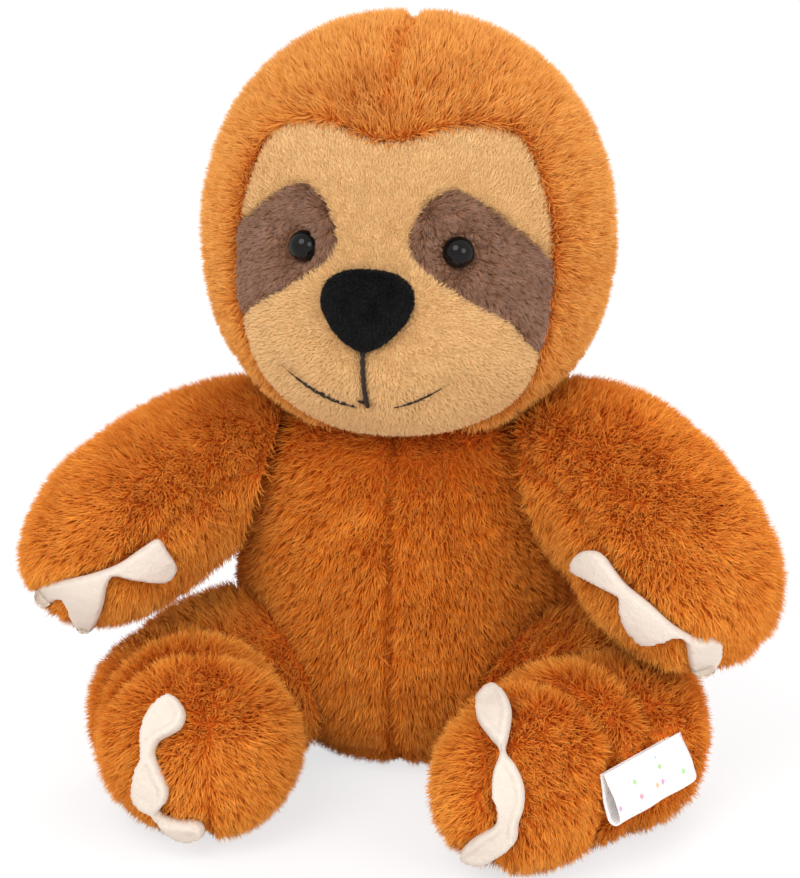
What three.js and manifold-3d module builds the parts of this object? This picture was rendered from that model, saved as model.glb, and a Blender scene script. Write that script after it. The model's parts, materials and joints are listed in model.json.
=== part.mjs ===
// A seated plush sloth in millimetres: +Z up, the face towards -Y, the toy's own left side towards +X.
// It is modelled round the body's upright axis and then moved so that the middle of its underside
// is the origin. Every soft form is a skin of sewn panels round a stuffed core.
import * as THREE from "three";
import { mergeVertices } from "three/addons/utils/BufferGeometryUtils.js";
import Module from "manifold-3d";

const wasm = await Module();
wasm.setup();

// Cloth, thread and clearances
const PANEL_THICKNESS = 1.8;
const SEAM_GAP = 0.3;
const THREAD_THICKNESS = 0.9;
const FLOOR_FLAT = 0.5;
const OVERRUN = 400;

// Body
const BODY_WIDTH = 64;
const BODY_DEPTH = 54;
const BODY_HEIGHT = 76;
const BODY_POWER = 2.8;
const BODY_SHARES = { wide: [0.91, 1, 1.01, 1.01, 1.12], deep: [0.92, 1, 1, 0.99, 1] };
const BASE_PANEL_WIDTH = 36;
const BASE_PANEL_DEPTH = 30;
const CLOSING_LENGTH = 24;
const CLOSING_HEIGHT = 36;
const STITCH_PITCH = 4;
const STITCH_WIDTH = 2.4;

// Bag of pellets in the seat
const POUCH_WIDTH = 18;
const POUCH_DEPTH = 24;
const POUCH_HEIGHT = 15;
const POUCH_POWER = 2.4;

// Head
const HEAD_WIDTH = 75.5;
const HEAD_DEPTH = 69;
const HEAD_HEIGHT = 80;
const HEAD_POWER = 2.15;
const HEAD_SHARES = { wide: [0.98, 1.02, 1, 0.99, 0.97], deep: [0.96, 1, 1, 1, 1] };
const HEAD_FORWARD = 3.5;
const MUZZLE_REACH = 10;
const MUZZLE_WIDTH = 44;
const MUZZLE_HEIGHT = 32;
const MUZZLE_DROP = 18;

// Face: panel, eye patches and eyes, placed from the middle of the head
const FACE_WIDTH = 61;
const FACE_HEIGHT = 61;
const FACE_DROP = 4;
const FACE_SHARES = [
  [0, 0.92], [0.42, 1], [0.78, 0.9], [0.96, 0.5], [1, 0.05],
  [0.94, -0.42], [0.76, -0.78], [0.42, -0.96], [0, -1],
];
const PATCH_WIDTH = 27;
const PATCH_HEIGHT = 36;
const PATCH_SIDE = 6.5;
const PATCH_DROP = 21.5;
const PATCH_SHARES = [
  [0, 0.72], [0.1, 0.92], [0.33, 1], [0.58, 0.9], [0.8, 0.72], [1.1, 0.52],
  [1.2, 0.2], [1, 0], [0.84, 0.14], [0.68, 0.3], [0.44, 0.4], [0.2, 0.48], [0.05, 0.58],
];
const EYE_DIAMETER = 6;
const EYE_BULGE = 3;
const EYE_SIDE = 15;
const EYE_RISE = 4.5;
const EYE_LEAN = 14;
const SHANK_DIAMETER = 1.8;
const SHANK_LENGTH = 5.5;
const WASHER_DIAMETER = 7;
const WASHER_THICKNESS = 1;

// Nose and mouth
const NOSE_WIDTH = 16.5;
const NOSE_HEIGHT = 14;
const NOSE_THICKNESS = 4.2;
const NOSE_DROP = 5;
const NOSE_SHARES = [
  [-0.55, 0.82], [0, 0.94], [0.55, 0.82], [0.97, 0.4], [0.86, -0.12], [0.42, -0.72],
  [0, -1], [-0.42, -0.72], [-0.86, -0.12], [-0.97, 0.4],
];
const MOUTH_LENGTH = 10;
const SMILE_WIDTH = 27;
const SMILE_RISE = 4.5;

// Neck, shoulder and hip seams: a ball of the limb's stuffing sits in a hollow of the body
const NECK_DROP = 4;
const HEAD_SINK = 5;
const NECK_BALL_RADIUS = 12.5;
const LIMB_BALL_RADIUS = 8.5;
const SEAM_FLAT_DEPTH = 2.6;
const BALL_SIDES = 12;
const BALL_RINGS = 8;
const SHOULDER_TURN = 8;
const SHOULDER_RISE = 20;
const HIP_TURN = 38;
const HIP_RISE = -14;

// How far each sewn joint bends, in degrees
const HEAD_TURN_ANGLES = [-20, 20];
const HEAD_NOD_ANGLES = [-6, 4];
const ARM_RAISE_ANGLES = [-3, 15];
const ARM_TWIST_ANGLE = 10;
const LEG_SWING_ANGLES = [-7, 7];

// Arms
const ARM_LENGTH = { left: 58, right: 55 };
const ARM_WIDTH = 36;
const ARM_THICKNESS = 31;
const ARM_POWER = 2.7;
const ARM_SHARES = { wide: [0.82, 0.9, 0.95, 1.06, 1.04], deep: [0.82, 0.94, 1, 1.02, 0.96] };
const ARM_TURN = 43;
const ARM_DROP = { left: 23, right: 22 };
const ARM_RISE = { left: 3, right: -0.5 };
const ARM_FULL_SHARE = { left: 1.02, right: 0.94 };
const ARM_ROLL = 18;

// Legs
const LEG_WIDTH = 35;
const LEG_THICKNESS = 33;
const LEG_POWER = 2.8;
const LEG_SHARES = { wide: [0.8, 0.94, 1.02], deep: [0.84, 0.88, 0.92, 1.04, 1.04] };
const FOOT_WIDTH_SHARE = { left: 0.97, right: 1.08 };
const KNEE_SIDE = { left: 42.5, right: 40 };
const KNEE_FORWARD = 24;
const FOOT_SIDE = { left: 24.5, right: 28.5 };
const FOOT_FORWARD = { left: 73, right: 67 };
const FOOT_TURN = { left: 2, right: 15 };

// Felt claws of the hands and padded claws of the feet
const CLAW_THICKNESS = 2;
const HAND_CLAWS_LENGTH = 30;
const HAND_CLAWS_SLOPE = 26;
const HAND_CLAWS_RISE_SHARE = 0.1;
const HAND_CLAWS_SHARES = [
  [0, 0], [0.3, 0.04], [0.68, 0.08], [0.86, 0.06], [1, 0], [1.07, 0.08], [1.06, 0.2], [1, 0.28],
  [0.9, 0.22], [0.78, 0.13], [0.68, 0.25], [0.59, 0.31], [0.5, 0.25], [0.4, 0.14], [0.28, 0.1],
  [0.12, 0.17], [-0.03, 0.16], [-0.07, 0.08],
];
const FOOT_CLAWS_HEIGHT = 31;
const FOOT_CLAWS_SHARES = [
  [-0.06, 1], [0.03, 0.97], [0.05, 0.9], [0.03, 0.75], [0.04, 0.64], [0.12, 0.5], [0.11, 0.36],
  [0.09, 0.22], [0, 0.11], [-0.1, 0], [-0.2, 0.01], [-0.24, 0.07], [-0.13, 0.16], [-0.04, 0.28],
  [-0.06, 0.5], [-0.04, 0.63], [-0.08, 0.76], [-0.14, 0.85], [-0.13, 0.96],
];

// Label, a folded loop sewn to the left leg
const LABEL_WIDTH = 25;
const LABEL_HEIGHT = 11;
const LABEL_THICKNESS = 0.5;
const LABEL_LOOP = 2.2;
const LABEL_PLACE_SHARE = 0.66;
const LABEL_LEAN = 20;
const LABEL_TUCK = 1.5;
const LABEL_CLEARANCE = 10;

// How finely each form is faceted: rings along it and sides round it
const HEAD_FACETS = [16, 24];
const HEAD_LINING_FACETS = [12, 18];
const BODY_FACETS = [12, 20];
const BODY_LINING_FACETS = [10, 16];
const LIMB_FACETS = [10, 12];
const POUCH_FACETS = [6, 10];
const NOSE_FACETS = [6, 16];
const RING_SIDES = 16;
const EYE_SIDES = 12;
const EYE_RINGS = 4;
const FACE_STEPS = 36;
const PATCH_STEPS = 22;
const CLAW_STEPS = 28;
const BASE_SIDES = 20;
const FOLD_STEPS = 6;
const THREAD_SIDES = 6;
const LINE_STEPS = 6;
const SMILE_STEPS = 14;
const SEARCH_STEPS = 96;

const UP = new THREE.Vector3(0, 0, 1);
const FRONT = new THREE.Vector3(0, -1, 0);
const LEFT = new THREE.Vector3(1, 0, 0);
const STANDOFF = THREAD_THICKNESS + 2 * SEAM_GAP;
const INSIDE = PANEL_THICKNESS + SEAM_GAP;
const FULL_TURN = 2 * Math.PI;
const toRadians = THREE.MathUtils.degToRad;

function cloth(color, roughness = 0.95) {
  return new THREE.MeshStandardMaterial({ color, roughness, metalness: 0 });
}

const LOOKS = {
  fur: cloth(0xc77429),
  dark_fur: cloth(0x9a4a12),
  face: cloth(0xe0a76c),
  patch: cloth(0x8f6448),
  nose: cloth(0x1a1818),
  thread: cloth(0x2b1a12),
  stuffing: cloth(0xf2efe6),
  claw: cloth(0xe9d8c6),
  pouch: cloth(0xd8d2c4),
  label: cloth(0xf7f5f2, 0.5),
  eye: new THREE.MeshStandardMaterial({ color: 0x0b0a0a, roughness: 0.08, metalness: 0 }),
  washer: new THREE.MeshStandardMaterial({ color: 0xe8e8e8, roughness: 0.5, metalness: 0 }),
};

// Solids

function solidOf(geometry) {
  const bare = geometry.clone();
  bare.deleteAttribute("normal");
  bare.deleteAttribute("uv");
  const merged = mergeVertices(bare);
  const index = merged.index.array;
  const corners = [];
  for (let i = 0; i < index.length; i += 3) {
    const [a, b, c] = [index[i], index[i + 1], index[i + 2]];
    if (a !== b && b !== c && c !== a) corners.push(a, b, c);
  }
  const vertProperties = new Float32Array(merged.attributes.position.array);
  const mesh = new wasm.Mesh({ numProp: 3, vertProperties, triVerts: new Uint32Array(corners) });
  return new wasm.Manifold(mesh);
}

function geometryOf(solid) {
  const { vertProperties, triVerts } = solid.getMesh();
  const geometry = new THREE.BufferGeometry();
  geometry.setAttribute("position", new THREE.BufferAttribute(vertProperties, 3));
  geometry.setIndex(new THREE.BufferAttribute(triVerts, 1));
  geometry.computeVertexNormals();
  return geometry;
}

function piece(name, solid, look) {
  const mesh = new THREE.Mesh(geometryOf(solid), LOOKS[look]);
  mesh.name = name;
  return mesh;
}

function volumeOf(points, index) {
  let volume = 0;
  for (let i = 0; i < index.length; i += 3) {
    const [a, b, c] = [points[index[i]], points[index[i + 1]], points[index[i + 2]]];
    volume += a.dot(b.clone().cross(c));
  }
  return volume;
}

// A closed round surface: at(along, turn) gives its points, from one end to the other
function swell([rings, sides], at) {
  const points = [at(0, 0)];
  for (let ring = 1; ring < rings; ring++)
    for (let side = 0; side < sides; side++) points.push(at(ring / rings, (side / sides) * FULL_TURN));
  points.push(at(1, 0));
  const index = [];
  const last = points.length - 1;
  for (let side = 0; side < sides; side++) {
    const next = (side + 1) % sides;
    index.push(0, 1 + side, 1 + next, last, last - sides + next, last - sides + side);
    for (let ring = 0; ring < rings - 2; ring++) {
      const [a, b] = [1 + ring * sides + side, 1 + ring * sides + next];
      index.push(a, a + sides, b + sides, a, b + sides, b);
    }
  }
  if (volumeOf(points, index) < 0) index.reverse();
  const geometry = new THREE.BufferGeometry().setFromPoints(points);
  geometry.setIndex(index);
  return solidOf(geometry);
}

// The half of space that a plane's normal points to
function beyond(point, normal) {
  const block = new THREE.BoxGeometry(OVERRUN, OVERRUN, OVERRUN);
  block.translate(0, 0, OVERRUN / 2);
  block.applyQuaternion(new THREE.Quaternion().setFromUnitVectors(UP, normal));
  block.translate(point.x, point.y, point.z);
  return solidOf(block);
}

function ball(centre, radius) {
  const sphere = new THREE.SphereGeometry(radius, BALL_SIDES, BALL_RINGS);
  sphere.translate(centre.x, centre.y, centre.z);
  return solidOf(sphere);
}

// A turned shape whose profile runs outwards along an axis from a point
function turned(profile, sides, point, axis) {
  const outline = profile.map(([radius, out]) => new THREE.Vector2(radius, out));
  const geometry = new THREE.LatheGeometry(outline, sides);
  geometry.applyQuaternion(new THREE.Quaternion().setFromUnitVectors(new THREE.Vector3(0, 1, 0), axis));
  geometry.translate(point.x, point.y, point.z);
  return solidOf(geometry);
}

// An outline seen from the front, extruded forwards from a depth
function frontPrism(outline, depth) {
  const shape = new THREE.Shape(outline.map(([x, z]) => new THREE.Vector2(x, z)));
  const geometry = new THREE.ExtrudeGeometry(shape, { depth: OVERRUN, bevelEnabled: false });
  geometry.rotateX(Math.PI / 2);
  geometry.translate(0, depth, 0);
  return solidOf(geometry);
}

function roundedOutline(corners, steps) {
  const curve = new THREE.CatmullRomCurve3(
    corners.map(([x, z]) => new THREE.Vector3(x, 0, z)),
    true,
    "centripetal",
  );
  return curve.getPoints(steps).slice(0, -1).map((point) => [point.x, point.z]);
}

// The same outline moved outwards by a distance all round
function grown(outline, distance) {
  const turning = Math.sign(THREE.ShapeUtils.area(outline.map(([x, z]) => new THREE.Vector2(x, z))));
  return outline.map(([x, z], i) => {
    const before = outline.at(i - 1);
    const after = outline[(i + 1) % outline.length];
    const square = new THREE.Vector2(after[1] - before[1], before[0] - after[0]);
    const outwards = square.setLength(distance * turning);
    return distance ? [x + outwards.x, z + outwards.y] : [x, z];
  });
}

function tube(points, thickness, steps) {
  const section = new THREE.Shape(
    Array.from({ length: THREAD_SIDES }, (_, corner) => {
      const angle = (corner / THREAD_SIDES) * FULL_TURN;
      return new THREE.Vector2(Math.cos(angle), Math.sin(angle)).multiplyScalar(thickness / 2);
    }),
  );
  const extrudePath = new THREE.CatmullRomCurve3(points);
  return solidOf(new THREE.ExtrudeGeometry(section, { steps, extrudePath, bevelEnabled: false }));
}

// Soft forms

function shareAt(shares, along) {
  const place = along * (shares.length - 1);
  const before = Math.min(Math.floor(place), shares.length - 2);
  return THREE.MathUtils.lerp(shares[before], shares[before + 1], place - before);
}

// A stuffed form along a curve, rounded at both ends; its points can be drawn in from the surface
function stuffedForm({ curve, width, depth, shares, power, sideways, bulge = () => 0 }) {
  const length = curve.getLength();
  const rounded = (value) => Math.sign(value) * Math.abs(value) ** (2 / power);
  return (inset) => (along, turn) => {
    const slack = inset / length;
    const place = slack + ((1 - rounded(Math.cos(Math.PI * along))) / 2) * (1 - 2 * slack);
    const plump = rounded(Math.sin(Math.PI * along));
    const clamped = THREE.MathUtils.clamp(place, 0, 1);
    const tangent = curve.getTangentAt(clamped);
    const across = sideways.clone().addScaledVector(tangent, -sideways.dot(tangent)).normalize();
    const through = tangent.clone().cross(across);
    const point = curve.getPointAt(clamped).addScaledVector(tangent, (place - clamped) * length);
    const halfWidth = (width / 2) * shareAt(shares.wide, clamped) - inset;
    const halfDepth = (depth / 2) * shareAt(shares.deep, clamped) - inset;
    point.addScaledVector(across, halfWidth * plump * Math.cos(turn));
    point.addScaledVector(through, halfDepth * plump * Math.sin(turn));
    return point.addScaledVector(FRONT, bulge(point));
  };
}

function straightUp(low, high, y) {
  return new THREE.LineCurve3(new THREE.Vector3(0, y, low), new THREE.Vector3(0, y, high));
}

const bodyForm = stuffedForm({
  curve: straightUp(-FLOOR_FLAT, BODY_HEIGHT, 0),
  width: BODY_WIDTH,
  depth: BODY_DEPTH,
  shares: BODY_SHARES,
  power: BODY_POWER,
  sideways: LEFT,
});

const NECK_HEIGHT = BODY_HEIGHT - NECK_DROP;
const HEAD_LOW = NECK_HEIGHT - HEAD_SINK;
const HEAD_MIDDLE = HEAD_LOW + HEAD_HEIGHT / 2;

// The muzzle swells the front of the head
function muzzleBulge(point) {
  if (point.y > 0) return 0;
  const across = point.x / (MUZZLE_WIDTH / 2);
  const up = (point.z - (HEAD_MIDDLE - MUZZLE_DROP)) / (MUZZLE_HEIGHT / 2);
  return MUZZLE_REACH * Math.exp(-(across ** 2 + up ** 2)) * Math.min(1, -point.y / (HEAD_DEPTH / 4));
}

const headForm = stuffedForm({
  curve: straightUp(HEAD_LOW, HEAD_LOW + HEAD_HEIGHT, -HEAD_FORWARD),
  width: HEAD_WIDTH,
  depth: HEAD_DEPTH,
  shares: HEAD_SHARES,
  power: HEAD_POWER,
  sideways: LEFT,
  bulge: muzzleBulge,
});

// Sewn joints

// A direction turned from straight left or right towards the front, and tilted up
function facing(side, turnAngle, riseAngle) {
  const [turn, rise] = [toRadians(turnAngle), toRadians(riseAngle)];
  return new THREE.Vector3(
    side * Math.cos(turn) * Math.cos(rise),
    -Math.sin(turn) * Math.cos(rise),
    Math.sin(rise),
  );
}

// The seat of a limb: where the body reaches furthest in a direction, pressed flat
function seatOn(form, normal) {
  let furthest = form(0)(0, 0);
  for (let i = 0; i <= SEARCH_STEPS; i++)
    for (let j = 0; j < SEARCH_STEPS; j++) {
      const point = form(0)(i / SEARCH_STEPS, (j / SEARCH_STEPS) * FULL_TURN);
      if (point.dot(normal) > furthest.dot(normal)) furthest = point;
    }
  return furthest.addScaledVector(normal, -SEAM_FLAT_DEPTH);
}

function joint(point, normal, bendAxis, angles, radius) {
  return { point, normal, bendAxis, angles, radius };
}

// The space left for a limb beyond its seat, at both ends of its bend
function limbSpace({ point, normal, bendAxis, angles }) {
  return [0, ...angles]
    .map((angle) => normal.clone().applyAxisAngle(bendAxis, -toRadians(angle)))
    .map((tilted) => beyond(point.clone().addScaledVector(tilted, STANDOFF), tilted))
    .reduce((space, next) => space.intersect(next));
}

// The hollow is wide enough for the ball's corners to pass its flat sides
function hollowFor({ point, radius }) {
  const flatness = Math.cos(Math.PI / BALL_SIDES) * Math.cos(Math.PI / (2 * BALL_RINGS));
  return ball(point, (radius + SEAM_GAP / 2) / flatness);
}

function seamThread(name, { point, normal, radius }) {
  const inner = radius + SEAM_GAP;
  const outer = inner + THREAD_THICKNESS;
  const [low, high] = [SEAM_GAP, SEAM_GAP + THREAD_THICKNESS];
  const profile = [[inner, low], [outer, low], [outer, high], [inner, high], [inner, low]];
  return piece(name, turned(profile, RING_SIDES, point, normal), "thread");
}

const neck = joint(new THREE.Vector3(0, 0, NECK_HEIGHT), UP, LEFT, HEAD_NOD_ANGLES, NECK_BALL_RADIUS);

function shoulder(side) {
  const normal = facing(side, SHOULDER_TURN, SHOULDER_RISE);
  const bendAxis = normal.clone().cross(UP).normalize();
  return joint(seatOn(bodyForm, normal), normal, bendAxis, ARM_RAISE_ANGLES, LIMB_BALL_RADIUS);
}

function hip(side) {
  const normal = facing(side, HIP_TURN, HIP_RISE);
  const bendAxis = UP.clone().addScaledVector(normal, -normal.z).normalize().multiplyScalar(side);
  return joint(seatOn(bodyForm, normal), normal, bendAxis, LEG_SWING_ANGLES, LIMB_BALL_RADIUS);
}

const SIDES = [
  { word: "left", side: 1 },
  { word: "right", side: -1 },
].map((entry) => ({ ...entry, shoulder: shoulder(entry.side), hip: hip(entry.side) }));

const seams = [neck, ...SIDES.flatMap((entry) => [entry.shoulder, entry.hip])];

// Body

function bodySolid(inset, facets) {
  let solid = swell(facets, bodyForm(inset)).intersect(beyond(UP.clone().multiplyScalar(inset), UP));
  for (const { point, normal } of seams)
    solid = solid.subtract(beyond(point.clone().addScaledVector(normal, -inset), normal));
  return solid;
}

function upright(width, depth, low, high) {
  const ellipse = new THREE.EllipseCurve(0, 0, width / 2, depth / 2);
  const shape = new THREE.Shape(ellipse.getPoints(BASE_SIDES).slice(0, -1));
  const geometry = new THREE.ExtrudeGeometry(shape, { depth: high - low, bevelEnabled: false });
  geometry.translate(0, 0, low);
  return solidOf(geometry);
}

function sideOf(side) {
  const normal = LEFT.clone().multiplyScalar(side);
  return beyond(normal.clone().multiplyScalar(SEAM_GAP / 2), normal);
}

function depthOf(front) {
  const normal = FRONT.clone().multiplyScalar(front);
  return beyond(normal.clone().multiplyScalar(SEAM_GAP / 2), normal);
}

function bodyPanels() {
  let skin = bodySolid(0, BODY_FACETS).subtract(bodySolid(PANEL_THICKNESS, BODY_LINING_FACETS));
  for (const seam of seams) skin = skin.subtract(hollowFor(seam));
  const low = -FLOOR_FLAT;
  const top = BODY_HEIGHT / 8;
  const base = upright(BASE_PANEL_WIDTH, BASE_PANEL_DEPTH, low, top);
  const hole = upright(BASE_PANEL_WIDTH + 2 * SEAM_GAP, BASE_PANEL_DEPTH + 2 * SEAM_GAP, low, top);
  const sides = skin.subtract(hole);
  const panels = [piece("body_base_panel", skin.intersect(base), "dark_fur")];
  for (const [place, front] of [["front", 1], ["back", -1]])
    for (const { word, side } of SIDES) {
      const panel = sides.intersect(sideOf(side)).intersect(depthOf(front));
      panels.push(piece(`body_${place}_${word}`, panel, "fur"));
    }
  return panels;
}

const pouchForm = stuffedForm({
  curve: straightUp(INSIDE - POUCH_HEIGHT / 2, INSIDE + POUCH_HEIGHT, 0),
  width: POUCH_WIDTH,
  depth: POUCH_DEPTH,
  shares: { wide: [1, 1], deep: [1, 1] },
  power: POUCH_POWER,
  sideways: LEFT,
});

function bodyCore() {
  let core = bodySolid(INSIDE, BODY_LINING_FACETS).subtract(swell(POUCH_FACETS, pouchForm(-SEAM_GAP)));
  for (const seam of seams) core = core.subtract(hollowFor(seam));
  const pouch = swell(POUCH_FACETS, pouchForm(0)).intersect(bodySolid(INSIDE, BODY_LINING_FACETS));
  return [piece("body_stuffing", core, "stuffing"), piece("pellet_pouch", pouch, "pouch")];
}

// The hand-sewn thread that closes the back seam after stuffing
function closingThread() {
  const skin = new THREE.Mesh(geometryOf(bodySolid(0, BODY_FACETS)), LOOKS.fur);
  const count = Math.round(CLOSING_LENGTH / STITCH_PITCH);
  const points = [];
  for (let stitch = 0; stitch <= count; stitch++) {
    const z = CLOSING_HEIGHT + (stitch / count - 1 / 2) * CLOSING_LENGTH;
    const x = (STITCH_WIDTH / 2) * (stitch % 2 ? 1 : -1);
    const out = surfacePoint(skin, x, z, -1).point;
    points.push(out.addScaledVector(FRONT, -(THREAD_THICKNESS / 2 + SEAM_GAP)));
  }
  return piece("back_closing_thread", tube(points, THREAD_THICKNESS, 2 * count), "thread");
}

// Head

function surfacePoint(mesh, x, z, front = 1) {
  const start = new THREE.Vector3(x, -front * OVERRUN, z);
  const hit = new THREE.Raycaster(start, FRONT.clone().multiplyScalar(-front)).intersectObject(mesh)[0];
  return { point: hit.point, normal: hit.face.normal };
}

function headSolid(inset, facets) {
  return swell(facets, headForm(inset));
}

function faceOutline() {
  const right = FACE_SHARES.map(([x, z]) => [(x * FACE_WIDTH) / 2, (z * FACE_HEIGHT) / 2]);
  const left = right.slice(1, -1).reverse().map(([x, z]) => [-x, z]);
  const middle = HEAD_MIDDLE - FACE_DROP;
  return roundedOutline([...right, ...left].map(([x, z]) => [x, z + middle]), FACE_STEPS);
}

function patchOutline(side) {
  const low = HEAD_MIDDLE - PATCH_DROP;
  const corners = PATCH_SHARES.map(([x, z]) => [
    side * (PATCH_SIDE + x * PATCH_WIDTH),
    low + z * PATCH_HEIGHT,
  ]);
  return roundedOutline(corners, PATCH_STEPS);
}

const headSkin = headSolid(0, HEAD_FACETS);
const headSurface = new THREE.Mesh(geometryOf(headSkin), LOOKS.fur);

// Where an eye sits on the head, and the way that it looks
function eyeSeat(side) {
  const { point } = surfacePoint(headSurface, side * EYE_SIDE, HEAD_MIDDLE + EYE_RISE);
  const out = facing(side, 90 - EYE_LEAN, 0);
  return { point, out };
}

function eyePieces({ word, side }) {
  const { point, out } = eyeSeat(side);
  const [radius, shank] = [EYE_DIAMETER / 2, SHANK_DIAMETER / 2];
  const dome = [];
  for (let step = 0; step < EYE_RINGS; step++) {
    const angle = (step / EYE_RINGS) * (Math.PI / 2);
    dome.push([radius * Math.cos(angle), SEAM_GAP + EYE_BULGE * Math.sin(angle)]);
  }
  const stem = [[0, -SHANK_LENGTH], [shank, -SHANK_LENGTH], [shank, SEAM_GAP]];
  const eye = [...stem, ...dome, [0, SEAM_GAP + EYE_BULGE]];
  const [hole, rim] = [shank + SEAM_GAP, WASHER_DIAMETER / 2];
  const back = -(INSIDE + WASHER_THICKNESS);
  const washer = [[hole, back], [rim, back], [rim, -INSIDE], [hole, -INSIDE], [hole, back]];
  return [
    piece(`eye_${word}`, turned(eye, EYE_SIDES, point, out), "eye"),
    piece(`eye_washer_${word}`, turned(washer, EYE_SIDES, point, out), "washer"),
  ];
}

// A round hole along an eye's axis, from one depth to another
function eyeHole(side, radius, deep, shallow) {
  const { point, out } = eyeSeat(side);
  return turned([[0, -deep], [radius, -deep], [radius, -shallow], [0, -shallow]], EYE_SIDES, point, out);
}

function headPanels() {
  const shell = headSkin.intersect(limbSpace(neck)).subtract(headSolid(PANEL_THICKNESS, HEAD_LINING_FACETS));
  const panels = [];
  const hood = shell.subtract(frontPrism(grown(faceOutline(), SEAM_GAP), 0));
  let face = shell.intersect(frontPrism(faceOutline(), 0));
  const whole = face;
  for (const { word, side } of SIDES) {
    panels.push(piece(`head_hood_${word}`, hood.intersect(sideOf(side)), "fur"));
    face = face.subtract(frontPrism(grown(patchOutline(side), SEAM_GAP), 0));
    const patch = whole
      .intersect(frontPrism(patchOutline(side), 0))
      .subtract(eyeHole(side, SHANK_DIAMETER / 2 + SEAM_GAP, SHANK_LENGTH, -SHANK_LENGTH))
      .subtract(eyeHole(side, EYE_DIAMETER / 2 + SEAM_GAP, 0, -SHANK_LENGTH))
      .subtract(eyeHole(side, WASHER_DIAMETER / 2 + SEAM_GAP, SHANK_LENGTH, PANEL_THICKNESS));
    panels.push(piece(`eye_patch_${word}`, patch, "patch"));
  }
  panels.push(piece("face_panel", face, "face"));
  return panels;
}

function headCore() {
  let core = headSolid(INSIDE, HEAD_LINING_FACETS).intersect(limbSpace(neck));
  for (const { side } of SIDES)
    core = core.subtract(eyeHole(side, WASHER_DIAMETER / 2 + SEAM_GAP, SHANK_LENGTH + SEAM_GAP, 0));
  return piece("head_stuffing", core.add(ball(neck.point, neck.radius)), "stuffing");
}

// The nose is a padded cap sewn on the muzzle
function nose() {
  const middle = HEAD_MIDDLE - NOSE_DROP;
  const { point } = surfacePoint(headSurface, 0, middle);
  const outline = roundedOutline(NOSE_SHARES, NOSE_FACETS[1]);
  const at = (along, turn) => {
    const place = Math.round((turn / FULL_TURN) * outline.length) % outline.length;
    const reach = Math.sin(Math.PI * along) ** (1 / 2);
    const [x, z] = outline[place];
    const out = NOSE_THICKNESS * Math.cos(Math.PI * along);
    const up = (z * reach * NOSE_HEIGHT) / 2;
    return new THREE.Vector3((x * reach * NOSE_WIDTH) / 2, point.y - out, middle + up);
  };
  const cap = swell(NOSE_FACETS, at);
  return piece("nose", cap.subtract(headSolid(-SEAM_GAP, HEAD_FACETS)), "nose");
}

function mouth() {
  const top = HEAD_MIDDLE - NOSE_DROP - NOSE_HEIGHT / 2 - 2 * SEAM_GAP;
  const low = top - MOUTH_LENGTH;
  const lift = THREAD_THICKNESS / 2 + SEAM_GAP;
  const onFace = (x, z) => {
    const { point, normal } = surfacePoint(headSurface, x, z);
    return point.addScaledVector(normal, lift);
  };
  const line = [0, 1 / 3, 2 / 3, 1].map((share) => onFace(0, top - share * MOUTH_LENGTH));
  const smile = [-1, -2 / 3, -1 / 3, 0, 1 / 3, 2 / 3, 1].map((share) =>
    onFace((share * SMILE_WIDTH) / 2, low + SMILE_RISE * share ** 2),
  );
  const threads = tube(line, THREAD_THICKNESS, LINE_STEPS).add(tube(smile, THREAD_THICKNESS, SMILE_STEPS));
  return piece("mouth_thread", threads.subtract(headSkin), "thread");
}

// Limbs

function limbPieces({ name, form, space, seam, split }) {
  const lining = swell(LIMB_FACETS, form(PANEL_THICKNESS));
  const core = swell(LIMB_FACETS, form(INSIDE)).intersect(space);
  const shell = swell(LIMB_FACETS, form(0)).intersect(space).subtract(lining).subtract(core);
  const halves = [1, -1].map((sign) => {
    const normal = split.normal.clone().multiplyScalar(sign);
    return shell.intersect(beyond(split.point.clone().addScaledVector(normal, SEAM_GAP / 2), normal));
  });
  return [
    piece(`${name}_${split.words[0]}`, halves[0], "fur"),
    piece(`${name}_${split.words[1]}`, halves[1], "fur"),
    piece(`${name}_stuffing`, core.add(ball(seam.point, seam.radius)), "stuffing"),
  ];
}

// Claws lie on the front of a limb like a sewn strip of the given outline
function clawPiece(name, form, outline, depth) {
  const over = swell(LIMB_FACETS, form(-SEAM_GAP - CLAW_THICKNESS));
  const under = swell(LIMB_FACETS, form(-SEAM_GAP));
  const claws = over.subtract(under).intersect(frontPrism(outline, depth));
  return piece(name, claws.intersect(beyond(new THREE.Vector3(), UP)), "claw");
}

function turnAbout(geometry, point, axis, angle) {
  const matrix = new THREE.Matrix4().makeRotationAxis(axis, toRadians(angle));
  geometry.translate(-point.x, -point.y, -point.z);
  geometry.applyMatrix4(matrix);
  return geometry.translate(point.x, point.y, point.z);
}

// The head as a raised arm meets it: bowed, and turned each way. The arm is pressed hollow there.
function headSwings(seam) {
  const [low, high] = HEAD_TURN_ANGLES;
  return [[low, 0], [0, 0], [high, 0], [high, ARM_TWIST_ANGLE]].map(([turn, twist]) => {
    const swung = geometryOf(headSolid(-SEAM_GAP, HEAD_FACETS));
    turnAbout(swung, neck.point, neck.bendAxis, HEAD_NOD_ANGLES[1]);
    turnAbout(swung, neck.point, neck.normal, turn);
    turnAbout(swung, seam.point, seam.normal, -twist);
    return solidOf(turnAbout(swung, seam.point, seam.bendAxis, -ARM_RAISE_ANGLES[1]));
  });
}

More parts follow.
